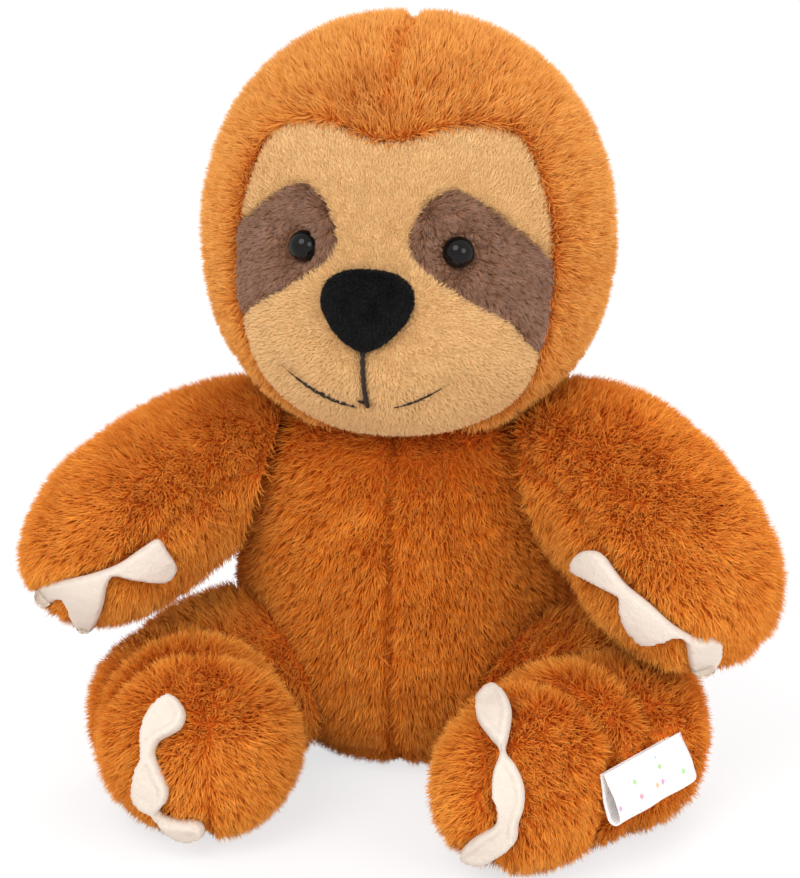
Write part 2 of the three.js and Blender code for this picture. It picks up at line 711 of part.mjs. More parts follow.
function armForm({ word, side, shoulder: seam }) {
  const aim = facing(side, ARM_TURN, -ARM_DROP[word]);
  const armpit = seam.point.clone().addScaledVector(seam.normal, ARM_THICKNESS / 6);
  const curve = new THREE.CatmullRomCurve3([
    seam.point.clone().addScaledVector(aim, -ARM_THICKNESS / 3),
    armpit.addScaledVector(aim, ARM_LENGTH[word] / 3).addScaledVector(UP, ARM_RISE[word]),
    seam.point.clone().addScaledVector(aim, ARM_LENGTH[word]),
  ]);
  const level = aim.clone().cross(UP).normalize().applyAxisAngle(aim, toRadians(-side * ARM_ROLL));
  const form = stuffedForm({
    curve,
    width: ARM_WIDTH * ARM_FULL_SHARE[word],
    depth: ARM_THICKNESS * ARM_FULL_SHARE[word],
    shares: ARM_SHARES,
    power: ARM_POWER,
    sideways: level,
  });
  return { form, aim, level, curve };
}

function arm(entry) {
  const { word, side, shoulder: seam } = entry;
  const { form, aim, level, curve } = armForm(entry);
  const space = headSwings(seam).reduce((rest, swung) => rest.subtract(swung), limbSpace(seam));
  const palm = level.clone().cross(aim);
  const split = { point: curve.getPointAt(1), normal: palm, words: ["outer", "palm"] };
  const hand = curve.getPointAt(1).addScaledVector(aim, -ARM_WIDTH / 2);
  const slope = toRadians(HAND_CLAWS_SLOPE);
  const along = [side * Math.cos(slope), -Math.sin(slope)];
  const down = [-side * Math.sin(slope), -Math.cos(slope)];
  const corners = HAND_CLAWS_SHARES.map(([u, v]) => [
    hand.x + HAND_CLAWS_LENGTH * ((u - 1 / 2) * along[0] + v * down[0]),
    hand.z + HAND_CLAWS_LENGTH * ((u - 1 / 2) * along[1] + (v - HAND_CLAWS_RISE_SHARE) * down[1]),
  ]);
  return [
    seamThread(`shoulder_thread_${word}`, seam),
    ...limbPieces({ name: `arm_${word}`, form, space, seam, split }),
    clawPiece(`hand_claws_${word}`, form, roundedOutline(corners, CLAW_STEPS), hand.y),
  ];
}

// A leg's width along it, up to its foot
function legWidthShares(word) {
  return [...LEG_SHARES.wide, FOOT_WIDTH_SHARE[word], FOOT_WIDTH_SHARE[word]];
}

function legForm({ word, side, hip: seam }) {
  const rest = (share) => (LEG_THICKNESS / 2) * share - FLOOR_FLAT;
  const [kneeShare, footShare] = [LEG_SHARES.deep[2], LEG_SHARES.deep[4]];
  const knee = new THREE.Vector3(side * KNEE_SIDE[word], -KNEE_FORWARD, rest(kneeShare));
  const toe = new THREE.Vector3(side * FOOT_SIDE[word], -FOOT_FORWARD[word], rest(footShare));
  const shin = knee.clone().lerp(toe, 1 / 2).setZ(toe.z);
  const inside = seam.point.clone().addScaledVector(seam.normal, -LEG_WIDTH / 2);
  const curve = new THREE.CatmullRomCurve3([inside, knee, shin, toe]);
  const form = stuffedForm({
    curve,
    width: LEG_WIDTH,
    depth: LEG_THICKNESS,
    shares: { wide: legWidthShares(word), deep: LEG_SHARES.deep },
    power: LEG_POWER,
    sideways: LEFT.clone().multiplyScalar(side),
  });
  return { form, curve };
}

function leg(entry) {
  const { word, side, hip: seam } = entry;
  const { form, curve } = legForm(entry);
  const toe = curve.getPointAt(1);
  const ahead = toe.clone().sub(curve.getPointAt(1 / 2)).setZ(0).normalize();
  const outwards = UP.clone().cross(ahead).multiplyScalar(side);
  const split = { point: toe, normal: outwards, words: ["outer", "inner"] };
  const seamX = toe.x + (side * Math.sin(toRadians(FOOT_TURN[word])) * LEG_WIDTH) / 2;
  const corners = FOOT_CLAWS_SHARES.map(([x, z]) => [
    seamX + side * x * FOOT_CLAWS_HEIGHT,
    FLOOR_FLAT + z * FOOT_CLAWS_HEIGHT,
  ]);
  const depth = toe.y + LEG_WIDTH / 2;
  const space = limbSpace(seam).intersect(beyond(new THREE.Vector3(), UP));
  return [
    seamThread(`hip_thread_${word}`, seam),
    ...limbPieces({ name: `leg_${word}`, form, space, seam, split }),
    clawPiece(`foot_claws_${word}`, form, roundedOutline(corners, CLAW_STEPS), depth),
  ];
}

// The label hangs from a line on the outside of the left leg, folded at its lower edge
function label() {
  const { curve } = legForm(SIDES[0]);
  const place = curve.getPointAt(LABEL_PLACE_SHARE);
  const ahead = curve.getTangentAt(LABEL_PLACE_SHARE).setZ(0).normalize();
  const out = UP.clone().cross(ahead).normalize();
  const top = LABEL_HEIGHT + LABEL_CLEARANCE;
  const outside = LABEL_LOOP / 2;
  const inside = outside - LABEL_THICKNESS;
  const profile = new THREE.Shape();
  profile.moveTo(outside, 0);
  profile.lineTo(outside, outside - LABEL_HEIGHT);
  profile.absarc(0, outside - LABEL_HEIGHT, outside, 0, -Math.PI, true);
  profile.lineTo(-outside, 0);
  profile.lineTo(-inside, 0);
  profile.lineTo(-inside, outside - LABEL_HEIGHT);
  profile.absarc(0, outside - LABEL_HEIGHT, inside, -Math.PI, 0, false);
  profile.lineTo(inside, 0);
  const settings = { depth: LABEL_WIDTH, bevelEnabled: false, curveSegments: FOLD_STEPS };
  const geometry = new THREE.ExtrudeGeometry(profile, settings);
  geometry.translate(0, 0, -LABEL_WIDTH / 2);
  geometry.rotateZ(toRadians(LABEL_LEAN));
  geometry.applyMatrix4(new THREE.Matrix4().makeBasis(out, UP, out.clone().cross(UP)));
  const side = (LEG_WIDTH / 2) * shareAt(legWidthShares("left"), LABEL_PLACE_SHARE);
  const hinge = place.addScaledVector(out, side + outside + SEAM_GAP - LABEL_TUCK).setZ(top);
  geometry.translate(hinge.x, hinge.y, hinge.z);
  return { mesh: piece("label_loop", solidOf(geometry), "label"), hinge, ahead };
}

// The whole toy, moved so that the middle of its underside is the origin

const { mesh: labelLoop, hinge: labelHinge, ahead: labelAxis } = label();

const head = new THREE.Group();
head.add(...headPanels(), headCore(), nose(), mouth(), ...SIDES.flatMap(eyePieces));

const body = new THREE.Group();
body.add(...bodyPanels(), ...bodyCore(), closingThread(), seamThread("neck_thread", neck));

const limbs = new THREE.Group();
limbs.add(...SIDES.flatMap((entry) => [...arm(entry), ...leg(entry)]), labelLoop);

const sloth = new THREE.Group();
sloth.add(head, body, limbs);
const box = new THREE.Box3().setFromObject(sloth);
const middle = box.getCenter(new THREE.Vector3());
sloth.position.set(-middle.x, -middle.y, -box.min.z);

export const joints = { neck, sides: SIDES, labelHinge, labelAxis, origin: sloth.position };
export default sloth;
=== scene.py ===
"""Dresses the frame of a seated plush sloth: stuffed skins, their pile, the face, claws and label"""
import json
import math

import bmesh
import bpy
import numpy as np
from bpy.props import FloatProperty, FloatVectorProperty, IntProperty, PointerProperty
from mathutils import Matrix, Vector
from mathutils.bvhtree import BVHTree
from mathutils.geometry import delaunay_2d_cdt


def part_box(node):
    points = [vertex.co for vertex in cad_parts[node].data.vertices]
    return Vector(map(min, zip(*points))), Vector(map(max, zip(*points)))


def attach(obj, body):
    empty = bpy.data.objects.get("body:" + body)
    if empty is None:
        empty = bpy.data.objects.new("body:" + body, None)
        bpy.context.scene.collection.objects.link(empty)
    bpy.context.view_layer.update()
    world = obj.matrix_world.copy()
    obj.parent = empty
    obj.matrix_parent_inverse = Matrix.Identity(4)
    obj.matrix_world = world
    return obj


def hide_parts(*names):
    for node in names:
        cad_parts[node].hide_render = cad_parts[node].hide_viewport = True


bl_info = {
    "name": "Plush Sloth",
    "version": (1, 0, 0),
    "blender": (4, 5, 0),
    "location": "3D View > Sidebar > Sloth",
    "description": "Builds the skins, pile, face, claws and label of a seated plush sloth",
    "category": "Add Mesh",
}

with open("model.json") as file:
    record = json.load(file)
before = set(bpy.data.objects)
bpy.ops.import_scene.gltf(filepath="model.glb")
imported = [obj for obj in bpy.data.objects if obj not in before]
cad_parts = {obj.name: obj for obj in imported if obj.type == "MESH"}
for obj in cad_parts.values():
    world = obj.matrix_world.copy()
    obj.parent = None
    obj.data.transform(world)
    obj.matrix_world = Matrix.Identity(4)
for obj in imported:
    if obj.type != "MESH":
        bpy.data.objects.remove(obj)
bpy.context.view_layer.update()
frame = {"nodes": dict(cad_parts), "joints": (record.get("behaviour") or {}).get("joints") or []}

MM = 0.001
LEFT = np.array([1.0, 0.0, 0.0])
UP = np.array([0.0, 0.0, 1.0])
FRONT = np.array([0.0, -1.0, 0.0])
JOINTS = {joint["name"]: joint for joint in frame["joints"]}


def joint_place(name):
    """Where a joint is, in millimetres from the body's upright axis"""
    return np.array(JOINTS[name]["pos_m"]) / MM - AXIS


def joint_axis(name):
    return np.array(JOINTS[name]["axis"])


# The body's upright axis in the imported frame, in millimetres. Every form is measured from it.
AXIS = np.array([*JOINTS["head_turn"]["pos_m"][:2], 0]) / MM
NECK_Z = JOINTS["head_turn"]["pos_m"][2] / MM
# Gap between the body and the skins of the head and the limbs
STANDOFF = 1.5
# The toy's own left and right, with the sign of their X
SIDES = (("left", 1), ("right", -1))

# The photograph's frame and its camera
FRAME_SIZE = (800, 878)
CAMERA_AZIMUTH = 9
CAMERA_ELEVATION = 17.5
CAMERA_DISTANCE = 700
CAMERA_AIM = np.array([-2.2, 0.0, 63.5])
CAMERA_LENS = 145
SENSOR = 36
FRAME_MIDDLE = np.array(FRAME_SIZE) / 2
FOCUS = CAMERA_LENS / SENSOR * FRAME_SIZE[1]

# Forms, in millimetres and degrees, by side where the sides differ
BODY_WIDTH, BODY_DEPTH, BODY_TOP = 65, 55, 76
HEAD_WIDTH, HEAD_DEPTH, HEAD_HEIGHT = 75.5, 69, 80
HEAD_LOW = NECK_Z - 5
HEAD_MIDDLE = HEAD_LOW + HEAD_HEIGHT / 2
HEAD_FORWARD = 3.5
ARM_LENGTH = {1: 58, -1: 55}
ARM_WIDTH, ARM_THICKNESS = 36, 31
ARM_TURN, ARM_ROLL = 43, 18
ARM_DROP = {1: 23, -1: 22}
ARM_RISE = {1: 3, -1: -0.5}
ARM_FULL = {1: 1.04, -1: 0.96}
HAND_FULL = {1: 1.13, -1: 1.06}
ANKLE_FOLD = {1: 1.9, -1: 1.2}
LEG_WIDTH, LEG_THICKNESS = 35, 33
KNEE_SIDE = {1: 44, -1: 40}
FOOT_SIDE = {1: 23.5, -1: 27.8}
FOOT_FORWARD = {1: 73, -1: 67}
FOOT_FULL = {1: 0.97, -1: 1.1}
LABEL_WIDTH = 25.6

# Share of an arm and of a leg past which its pile is cut short round the claws
HAND_START, FOOT_START = 0.45, 0.76
# A distance that is clear of any claw
FAR = 100

# How wide and how deep the forms are along their lines, as shares of their sizes
BODY_WIDE, BODY_DEEP = [0.92, 1, 1.01, 1.02, 1.13], [0.93, 1, 1, 1, 1.01]
HEAD_WIDE, HEAD_DEEP = [0.98, 1.02, 1, 0.99, 0.97], [0.96, 1, 1, 1, 1]
ARM_WIDE, ARM_DEEP = [0.88, 0.95, 0.98, 1.08], [0.84, 0.95, 1.01, 1.04, 0.99]
LEG_WIDE, LEG_DEEP = [0.84, 1.02, 0.99, 0.93], [0.86, 0.9, 0.93, 0.97, 1.06, 1.05]

# How square each form is, where 2 is round, and its mesh's rings and sides
BODY_MESH, HEAD_MESH = (2.8, 64, 96), (2.15, 120, 176)
ARM_MESH, LEG_MESH = (2.7, 84, 96), (2.8, 84, 96)

# The face and its features
EYE_SIDE, EYE_RISE = 15, 4.5
FEATURE_SKEW = -1.2
NOSE_DROP = 5
FACE_SHARES = [
    (0, 0.92), (0.42, 1), (0.78, 0.9), (0.96, 0.5), (1, 0.05),
    (0.94, -0.42), (0.76, -0.78), (0.42, -0.96), (0, -1),
]
FACE_SIZE = (29.9, 30.5)
FACE_SHIFT = 0.9
FACE_DROP = 4
PATCH_CORNERS = [
    (7.0, 6.5), (9.0, 12.2), (14.0, 15.2), (20, 12), (25.5, 7), (30, 2), (34, -6),
    (32, -18.5), (28.2, -15), (24.2, -8.8), (17.8, -4.2), (12.4, -0.4), (8.6, 2.8),
]
NOSE_SHARES = [
    (-0.5, 0.9), (0, 0.96), (0.5, 0.9), (0.86, 0.64), (1, 0.2), (0.86, -0.28), (0.48, -0.76),
    (0, -1), (-0.48, -0.76), (-0.86, -0.28), (-1, 0.2), (-0.86, 0.64),
]
NOSE_SIZE = (8.5, 7.0)
MOUTH_DROP = 23.3
# Each half of the smile: its side, where it starts and ends, how far it rises, how full its thread is
SMILE_HALVES = ((1, 5.2, 13.5, 3.6, 0.6), (-1, 3.6, 16.6, 4.3, 0.95))
SMILE_END = (15.5, -20)

# The outline that an eye is turned from: how far out from its axis, and how far forward
EYE_RIM = [(0.01, -3.0), (0.9, -3.0), (0.9, -0.4), (2.75, -0.4), (2.98, -0.1), (3.0, 0.2)]
EYE_RADIUS, EYE_DOME = 3.0, 2.9

# Strands of the short piles
FACE_STRANDS, PATCH_STRANDS, NOSE_STRANDS = 38000, 13000, 8000

# The lamps: where they stand and how wide they are, in metres, and how strong
LAMPS = (
    ("key", (-0.3, -0.85, 0.95), 0.8, 8.4),
    ("fill", (0.75, -0.7, 0.5), 0.6, 4.0),
    ("back", (0.2, 0.9, 0.8), 0.6, 4.0),
)
LAMP_AIM = Vector((0, 0, 0.07))
FLOOR_REACH = 6.0

# Outlines of the claws by side, in the photograph's pixels
HAND_CLAWS = {
    1: [
        (573, 561), (582, 552), (596, 551), (606, 558), (616, 572), (628, 586), (648, 602), (674, 625),
        (698, 637), (713, 636), (721, 641), (720, 655), (714, 668), (704, 675), (693, 672), (688, 660),
        (685, 641), (674, 637), (660, 642), (642, 643), (628, 630), (620, 612), (619, 598), (606, 590),
        (588, 580), (574, 572),
    ],
    -1: [
        (158, 539), (167, 551), (176, 566), (172, 577), (160, 582), (134, 580), (114, 576), (107, 586),
        (103, 606), (94, 627), (84, 630), (76, 622), (66, 600), (60, 598), (51, 604), (45, 607),
        (40, 603), (37, 597), (38, 588), (47, 582), (66, 579), (90, 574), (118, 564), (142, 548),
    ],
}
FOOT_CLAWS = {
    1: [
        (488, 691), (498, 689), (507, 697), (512, 714), (509, 736), (506, 752), (516, 766), (524, 786),
        (524, 806), (519, 822), (517, 838), (506, 850), (486, 860), (470, 858), (463, 850), (471, 840),
        (484, 831), (497, 822), (498, 808), (493, 794), (494, 772), (500, 752), (490, 738), (479, 722),
        (478, 704),
    ],
    -1: [
        (168, 696), (178, 700), (186, 714), (182, 728), (172, 735), (160, 742), (156, 754), (162, 770),
        (169, 786), (168, 798), (162, 806), (160, 810), (170, 816), (184, 818), (196, 819), (204, 825),
        (203, 832), (190, 836), (175, 833), (163, 824), (153, 812), (141, 805), (134, 792), (136, 772),
        (142, 756), (142, 736), (146, 720), (156, 704),
    ],
}


# Shader and node arithmetic


def arithmetic(operation):
    """An operator's method, and its reflected form for a number that comes first"""

    def plain(self, other):
        return self.join(operation, self, other)

    def reflected(self, other):
        return self.join(operation, other, self)

    return plain, reflected


class Term:
    """A node's output that takes part in sums: numbers add Math nodes, vectors Vector Math nodes"""

    def __init__(self, graph, socket):
        self.graph = graph
        self.socket = socket

    __add__, __radd__ = arithmetic("ADD")
    __sub__, __rsub__ = arithmetic("SUBTRACT")
    __mul__, __rmul__ = arithmetic("MULTIPLY")
    __truediv__, __rtruediv__ = arithmetic("DIVIDE")

    def part(self, name):
        """Another output of the same node"""
        return Term(self.graph, self.socket.node.outputs[name])

    def is_vector(self):
        return self.socket.type in ("VECTOR", "RGBA", "ROTATION")

    def join(self, operation, first, second):
        pair = (first, second)
        vectors = [isinstance(side, Term) and side.is_vector() for side in pair]
        if all(vectors):
            return self.graph.node("ShaderNodeVectorMath", {"operation": operation}, pair)
        if operation == "MULTIPLY" and any(vectors):
            vector, number = pair if vectors[0] else (second, first)
            sockets = {"Vector": vector, "Scale": number}
            return self.graph.node("ShaderNodeVectorMath", {"operation": "SCALE"}, sockets)
        return self.graph.node("ShaderNodeMath", {"operation": operation}, pair)

    def clamped(self, low=0.0, high=1.0):
        return self.graph.node("ShaderNodeClamp", {}, {"Value": self, "Min": low, "Max": high})

    def dot(self, other):
        made = self.graph.node("ShaderNodeVectorMath", {"operation": "DOT_PRODUCT"}, (self, other))
        return made.part("Value")

    def length(self):
        made = self.graph.node("ShaderNodeVectorMath", {"operation": "LENGTH"}, (self,))
        return made.part("Value")

    def unit(self):
        return self.graph.node("ShaderNodeVectorMath", {"operation": "NORMALIZE"}, (self,))


class Graph:
    """Adds nodes to a tree from left to right"""

    def __init__(self, tree):
        self.tree = tree

    def node(self, kind, settings, sockets, output=0):
        made = self.tree.nodes.new(kind)
        for name, value in settings.items():
            if name == "stops":
                self.set_stops(made.color_ramp, value)
            else:
                setattr(made, name, value)
        entries = sockets.items() if isinstance(sockets, dict) else enumerate(sockets)
        for name, value in entries:
            self.feed(made.inputs[name], value)
        return Term(self, made.outputs[output]) if len(made.outputs) else made

    def set_stops(self, ramp, stops):
        while len(ramp.elements) < len(stops):
            ramp.elements.new(1.0)
        for element, (place, colour) in zip(ramp.elements, stops):
            element.position = place
            element.color = (*colour, 1.0)[:4]

    def feed(self, socket, value):
        if isinstance(value, Term):
            self.tree.links.new(value.socket, socket)
        elif socket.type == "RGBA":
            socket.default_value = (*value, 1.0)[:4]
        else:
            socket.default_value = value

    def blend(self, share, first, second):
        """A colour between two colours"""
        return self.node("ShaderNodeMix", {"data_type": "RGBA"}, {0: share, 6: first, 7: second}, 2)

    def vector(self, x, y, z):
        return self.node("ShaderNodeCombineXYZ", {}, (x, y, z))

    def split(self, vector):
        """A vector's X, with its Y and Z as parts"""
        return self.node("ShaderNodeSeparateXYZ", {}, {"Vector": vector})

    def position(self):
        return self.node("GeometryNodeInputPosition", {}, {})

    def named(self, name, kind="FLOAT"):
        """A value kept on the geometry"""
        return self.node("GeometryNodeInputNamedAttribute", {"data_type": kind}, {"Name": name})

    def store(self, geometry, name, value, kind, domain):
        """Keeps a value on a geometry's points, corners or instances"""
        settings = {"data_type": kind, "domain": domain}
        sockets = {"Geometry": geometry, "Name": name, "Value": value}
        return self.node("GeometryNodeStoreNamedAttribute", settings, sockets)

    def chance(self, low, high, seed):
        """A random number for each point"""
        sockets = {2: low, 3: high, "Seed": seed}
        return self.node("FunctionNodeRandomValue", {"data_type": "FLOAT"}, sockets, 1)


def tint(red, green, blue):
    """A colour written as on a screen, as the light that it stands for"""
    shares = [value / 255 for value in (red, green, blue)]
    return tuple(s / 12.92 if s <= 0.04045 else ((s + 0.055) / 1.055) ** 2.4 for s in shares)


def scaled(colour, share):
    """A colour made darker, or lighter with a share above 1"""
    return tuple(value * share for value in colour)


def whiter(colour, share):
    return tuple(value + (1 - value) * share for value in colour)


def cleared(owner):
    """The emptied nodes of a material or a world"""
    owner.use_nodes = True
    owner.node_tree.nodes.clear()
    return Graph(owner.node_tree)


# Settings that a user would change


def length_property(name, description, default):
    return FloatProperty(name=name, description=description, default=default, min=0.0,
                         unit="LENGTH", subtype="DISTANCE")


def colour_property(name, description, default):
    return FloatVectorProperty(name=name, description=description, default=tint(*default),
                               min=0.0, max=1.0, subtype="COLOR", size=3)


class SlothSizes(bpy.types.PropertyGroup):
    """Sizes of the pile and the small pieces"""

    pile_length: length_property("Pile length", "Length of the long pile's strands", 0.0050)
    pile_width: length_property("Strand width", "Width of a long strand at its root", 0.00036)
    clump: length_property("Clump size", "Distance between the tufts that strands gather in", 0.0024)
    velour_length: length_property("Velour length", "Length of the face's short pile", 0.0011)
    velour_width: length_property("Velour width", "Width of a short strand", 0.00026)
    thread: length_property("Thread", "Thickness of the mouth's thread", 0.0009)
    felt: length_property("Felt", "Thickness of the hands' felt claws", 0.0018)
    strands: IntProperty(name="Strands", description="Strands of each furred half",
                         default=47800, min=100)


class SlothColours(bpy.types.PropertyGroup):
    """Colours of the cloths, the thread and the eyes"""

    # The root and tip colours, here and for the hood, are partly the pile's own colour and partly painted
    # shade deep in the pile and painted sheen at the tips
    root: colour_property("Pile root", "Colour deep in the long pile", (204, 96, 16))
    middle: colour_property("Pile", "Colour of the long pile", (242, 150, 42))
    tip: colour_property("Pile tip", "Colour of the long pile's tips", (250, 186, 88))
    hood_root: colour_property("Hood pile root", "Colour deep in the hood's pile", (204, 112, 36))
    hood_middle: colour_property("Hood pile", "Colour of the hood's pile", (236, 154, 58))
    hood_tip: colour_property("Hood pile tip", "Colour of the tips of the hood's pile", (248, 194, 110))
    backing: colour_property("Backing", "Cloth under the long pile", (214, 112, 34))
    face: colour_property("Face", "Velour of the face", (242, 197, 134))
    patch: colour_property("Eye patch", "Velour round the eyes", (166, 110, 72))
    nose: colour_property("Nose", "Velour of the nose", (16, 14, 14))
    eye: colour_property("Eye", "Plastic of the eyes", (8, 7, 7))
    thread: colour_property("Thread", "Mouth and seam thread", (38, 22, 16))
    claw: colour_property("Claw", "Fleece of the claws", (228, 214, 200))
    label: colour_property("Label", "Satin of the label", (248, 247, 246))


# Forms


def spline(knots, share):
    """A smooth line through evenly spaced knots, read at shares of its way"""
    knots = np.asarray(knots, float)
    knots = knots[:, None] if knots.ndim == 1 else knots
    place = np.clip(np.asarray(share, float), 0, 1) * (len(knots) - 1)
    index = np.minimum(place.astype(int), len(knots) - 2)
    t = (place - index)[:, None]
    ends = np.vstack([2 * knots[0] - knots[1], knots, 2 * knots[-1] - knots[-2]])
    a, b, c, d = (ends[index + step] for step in range(4))
    square, cube = 2 * a - 5 * b + 4 * c - d, 3 * b - a - 3 * c + d
    return (2 * b + (c - a) * t + square * t**2 + cube * t**3) / 2


def closed_spline(corners, steps):
    """A smooth closed outline through its corners"""
    corners = np.asarray(corners, float)
    around = np.vstack([corners[-1:], corners, corners[:2]])
    share = (1 + np.arange(steps) / steps * len(corners)) / (len(around) - 1)
    return spline(around, share)


def facing(side, turn, rise):
    """A direction turned from straight sideways towards the front, and tilted up"""
    turn, rise = math.radians(turn), math.radians(rise)
    across, ahead = math.cos(turn) * math.cos(rise), math.sin(turn) * math.cos(rise)
    return np.array([side * across, -ahead, math.sin(rise)])


def unit(vectors):
    return vectors / np.maximum(np.linalg.norm(vectors, axis=-1, keepdims=True), 1e-9)


class Form:
    """A stuffed form along a line, rounded at both ends"""

    def __init__(self, path, wide, deep, sideways, power, rings, sides):
        shares = np.linspace(0, 1, 400)
        line = spline(path, shares)
        steps = np.concatenate([[0], np.cumsum(np.linalg.norm(np.diff(line, axis=0), axis=1))])
        arc = steps / steps[-1]
        along = np.arange(1, rings) / rings
        rounded = lambda value: np.sign(value) * np.abs(value) ** (2 / power)
        place = (1 - rounded(np.cos(np.pi * along))) / 2
        plump = rounded(np.sin(np.pi * along))
        read = lambda at: np.stack([np.interp(at, arc, line[:, i]) for i in range(3)], 1)
        centre = read(place)
        tangent = unit(read(np.minimum(place + 0.01, 1)) - read(np.maximum(place - 0.01, 0)))
        across = unit(sideways - tangent * (tangent @ sideways)[:, None])
        through = np.cross(tangent, across)
        turn = np.arange(sides) / sides * 2 * np.pi
        half_wide = spline(wide, place) * plump[:, None] / 2
        half_deep = spline(deep, place) * plump[:, None] / 2
        rows = (centre[:, None] + across[:, None] * (half_wide * np.cos(turn))[..., None]
                + through[:, None] * (half_deep * np.sin(turn))[..., None])
        ends = read(np.array([0.0, 1.0]))
        self.points = np.vstack([ends[:1], rows.reshape(-1, 3), ends[1:]])
        repeat = lambda values: np.repeat(values, sides, axis=0)
        self.place = np.concatenate([[0], repeat(place), [1]])
        self.tangent = np.vstack([tangent[:1], repeat(tangent), tangent[-1:]])
        self.centre = np.vstack([ends[:1], repeat(centre), ends[1:]])
        self.faces = self.ring_faces(rings, sides)
        if self.volume() < 0:
            self.faces = [face[::-1] for face in self.faces]

    def ring_faces(self, rings, sides):
        last = len(self.points) - 1
        faces = []
        for side in range(sides):
            near = (side + 1) % sides
            faces.append((0, 1 + side, 1 + near))
            faces.append((last, last - sides + near, last - sides + side))
            for ring in range(rings - 2):
                a, b = 1 + ring * sides + side, 1 + ring * sides + near
                faces.append((a, a + sides, b + sides, b))
        return faces

    def volume(self):
        corners = np.array([self.points[list(face[:3])] for face in self.faces])
        return np.einsum("ij,ij->i", corners[:, 0], np.cross(corners[:, 1], corners[:, 2])).sum()

    def press(self, point, normal):
        """Presses what reaches past a plane flat on it"""
        past = np.maximum((self.points - point) @ normal, 0)
        self.points -= past[:, None] * normal


def signed_distance(points, outline):
    """Distance of flat points from a closed outline, below zero inside it"""
    start, end = outline, np.roll(outline, -1, axis=0)
    edge = end - start
    gap = points[:, None] - start
    share = np.clip((gap * edge).sum(-1) / np.maximum((edge**2).sum(-1), 1e-9), 0, 1)
    distance = np.linalg.norm(gap - share[..., None] * edge, axis=-1).min(1)
    x, y = points[:, 0:1], points[:, 1:2]
    crosses = (start[:, 1] > y) != (end[:, 1] > y)
    level = np.where(np.abs(edge[:, 1]) < 1e-12, 1e-12, edge[:, 1])
    meets = x < (y - start[:, 1]) / level * edge[:, 0] + start[:, 0]
    inside = (crosses & meets).sum(1) % 2 == 1
    return np.where(inside, -distance, distance)


def line_distance(points, line):
    """Distance of points from an open line"""
    start, edge = line[:-1], np.diff(line, axis=0)
    gap = points[:, None] - start
    share = np.clip((gap * edge).sum(-1) / np.maximum((edge**2).sum(-1), 1e-9), 0, 1)
    return np.linalg.norm(gap - share[..., None] * edge, axis=-1).min(1)


def step_up(value, low, high):
    """A smooth step from 0 at low to 1 at high"""
    share = np.clip((value - low) / (high - low), 0, 1)
    return share * share * (3 - 2 * share)


def hump(value, width):
    """1 where a value is 0, falling off on both sides"""
    return np.exp(-(value / width) ** 2)


def twice(values):
    """The same values for a slab's front and for its back"""
    return np.concatenate([values, values])


def front_only(values):
    return np.concatenate([values, np.zeros(len(values))])


def filled(outline, pitch):
    """Fills a flat outline with even triangles: its points and their triangles"""
    low, high = outline.min(0), outline.max(0)
    rows = []
    for i, y in enumerate(np.arange(low[1], high[1], pitch * 0.87)):
        x = np.arange(low[0] + (i % 2) * pitch / 2, high[0], pitch)
        rows.append(np.stack([x, np.full_like(x, y)], 1))
    grid = np.vstack(rows)
    grid = grid[signed_distance(grid, outline) < -pitch * 0.6]
    points = [Vector(point) for point in np.vstack([outline, grid])]
    count = len(outline)
    edges = [(i, (i + 1) % count) for i in range(count)]
    made = delaunay_2d_cdt(points, edges, [list(range(count))], 1, 1e-6)
    return np.array([tuple(point) for point in made[0]]), [tuple(face) for face in made[2]]


def slab(name, front, back, faces):
    """A closed piece between a front and a back sheet of the same triangles"""
    uses = {}
    for face in faces:
        for a, b in zip(face, face[1:] + face[:1]):
            uses[a, b] = True
    count = len(front)
    rim = [(a, b) for a, b in uses if (b, a) not in uses]
    walls = [(b, a, a + count, b + count) for a, b in rim]
    backs = [tuple(corner + count for corner in face[::-1]) for face in faces]
    made = mesh_object(name, np.vstack([front, back]), [*faces, *backs, *walls])
    facing_out(made.data)
    return made


def facing_out(mesh):
    """Turns a closed mesh's faces outwards"""
    shape = bmesh.new()
    shape.from_mesh(mesh)
    bmesh.ops.recalc_face_normals(shape, faces=shape.faces)
    if shape.calc_volume(signed=True) < 0:
        bmesh.ops.reverse_faces(shape, faces=shape.faces)
    shape.to_mesh(mesh)
    shape.free()


def new_object(name, data):
    made = bpy.data.objects.new(name, data)
    bpy.context.scene.collection.objects.link(made)
    return made


def mesh_object(name, points, faces):
    """An object at the origin from points in millimetres about the body's axis"""
    mesh = bpy.data.meshes.new(name)
    mesh.from_pydata(((points + AXIS) * MM).tolist(), [], [tuple(face) for face in faces])
    mesh.validate()
    mesh.polygons.foreach_set("use_smooth", [True] * len(mesh.polygons))
    return new_object(name, mesh)


def surface_of(points, faces):
    return BVHTree.FromPolygons([tuple(point) for point in points], [tuple(face) for face in faces])


def from_front(surface, flat):
    """Points and normals on a surface, straight behind points of the front view"""
    found, normals = [], []
    for x, z in flat:
        hit, normal, _, _ = surface.ray_cast(Vector((x, -400, z)), Vector((0, 1, 0)))
        if hit is None:
            hit, normal, _, _ = surface.find_nearest(Vector((x, -20, z)))
        found.append(tuple(hit))
        normals.append(tuple(normal))
    return np.array(found), np.array(normals)


def camera_axes():
    """The camera's directions: back from what it sees, to its right and up"""
    turn, rise = math.radians(CAMERA_AZIMUTH), math.radians(CAMERA_ELEVATION)
    level = np.array([math.sin(turn), -math.cos(turn), 0])
    back = level * math.cos(rise) + UP * math.sin(rise)
    right = unit(np.cross(UP, back))
    return back, right, np.cross(back, right)


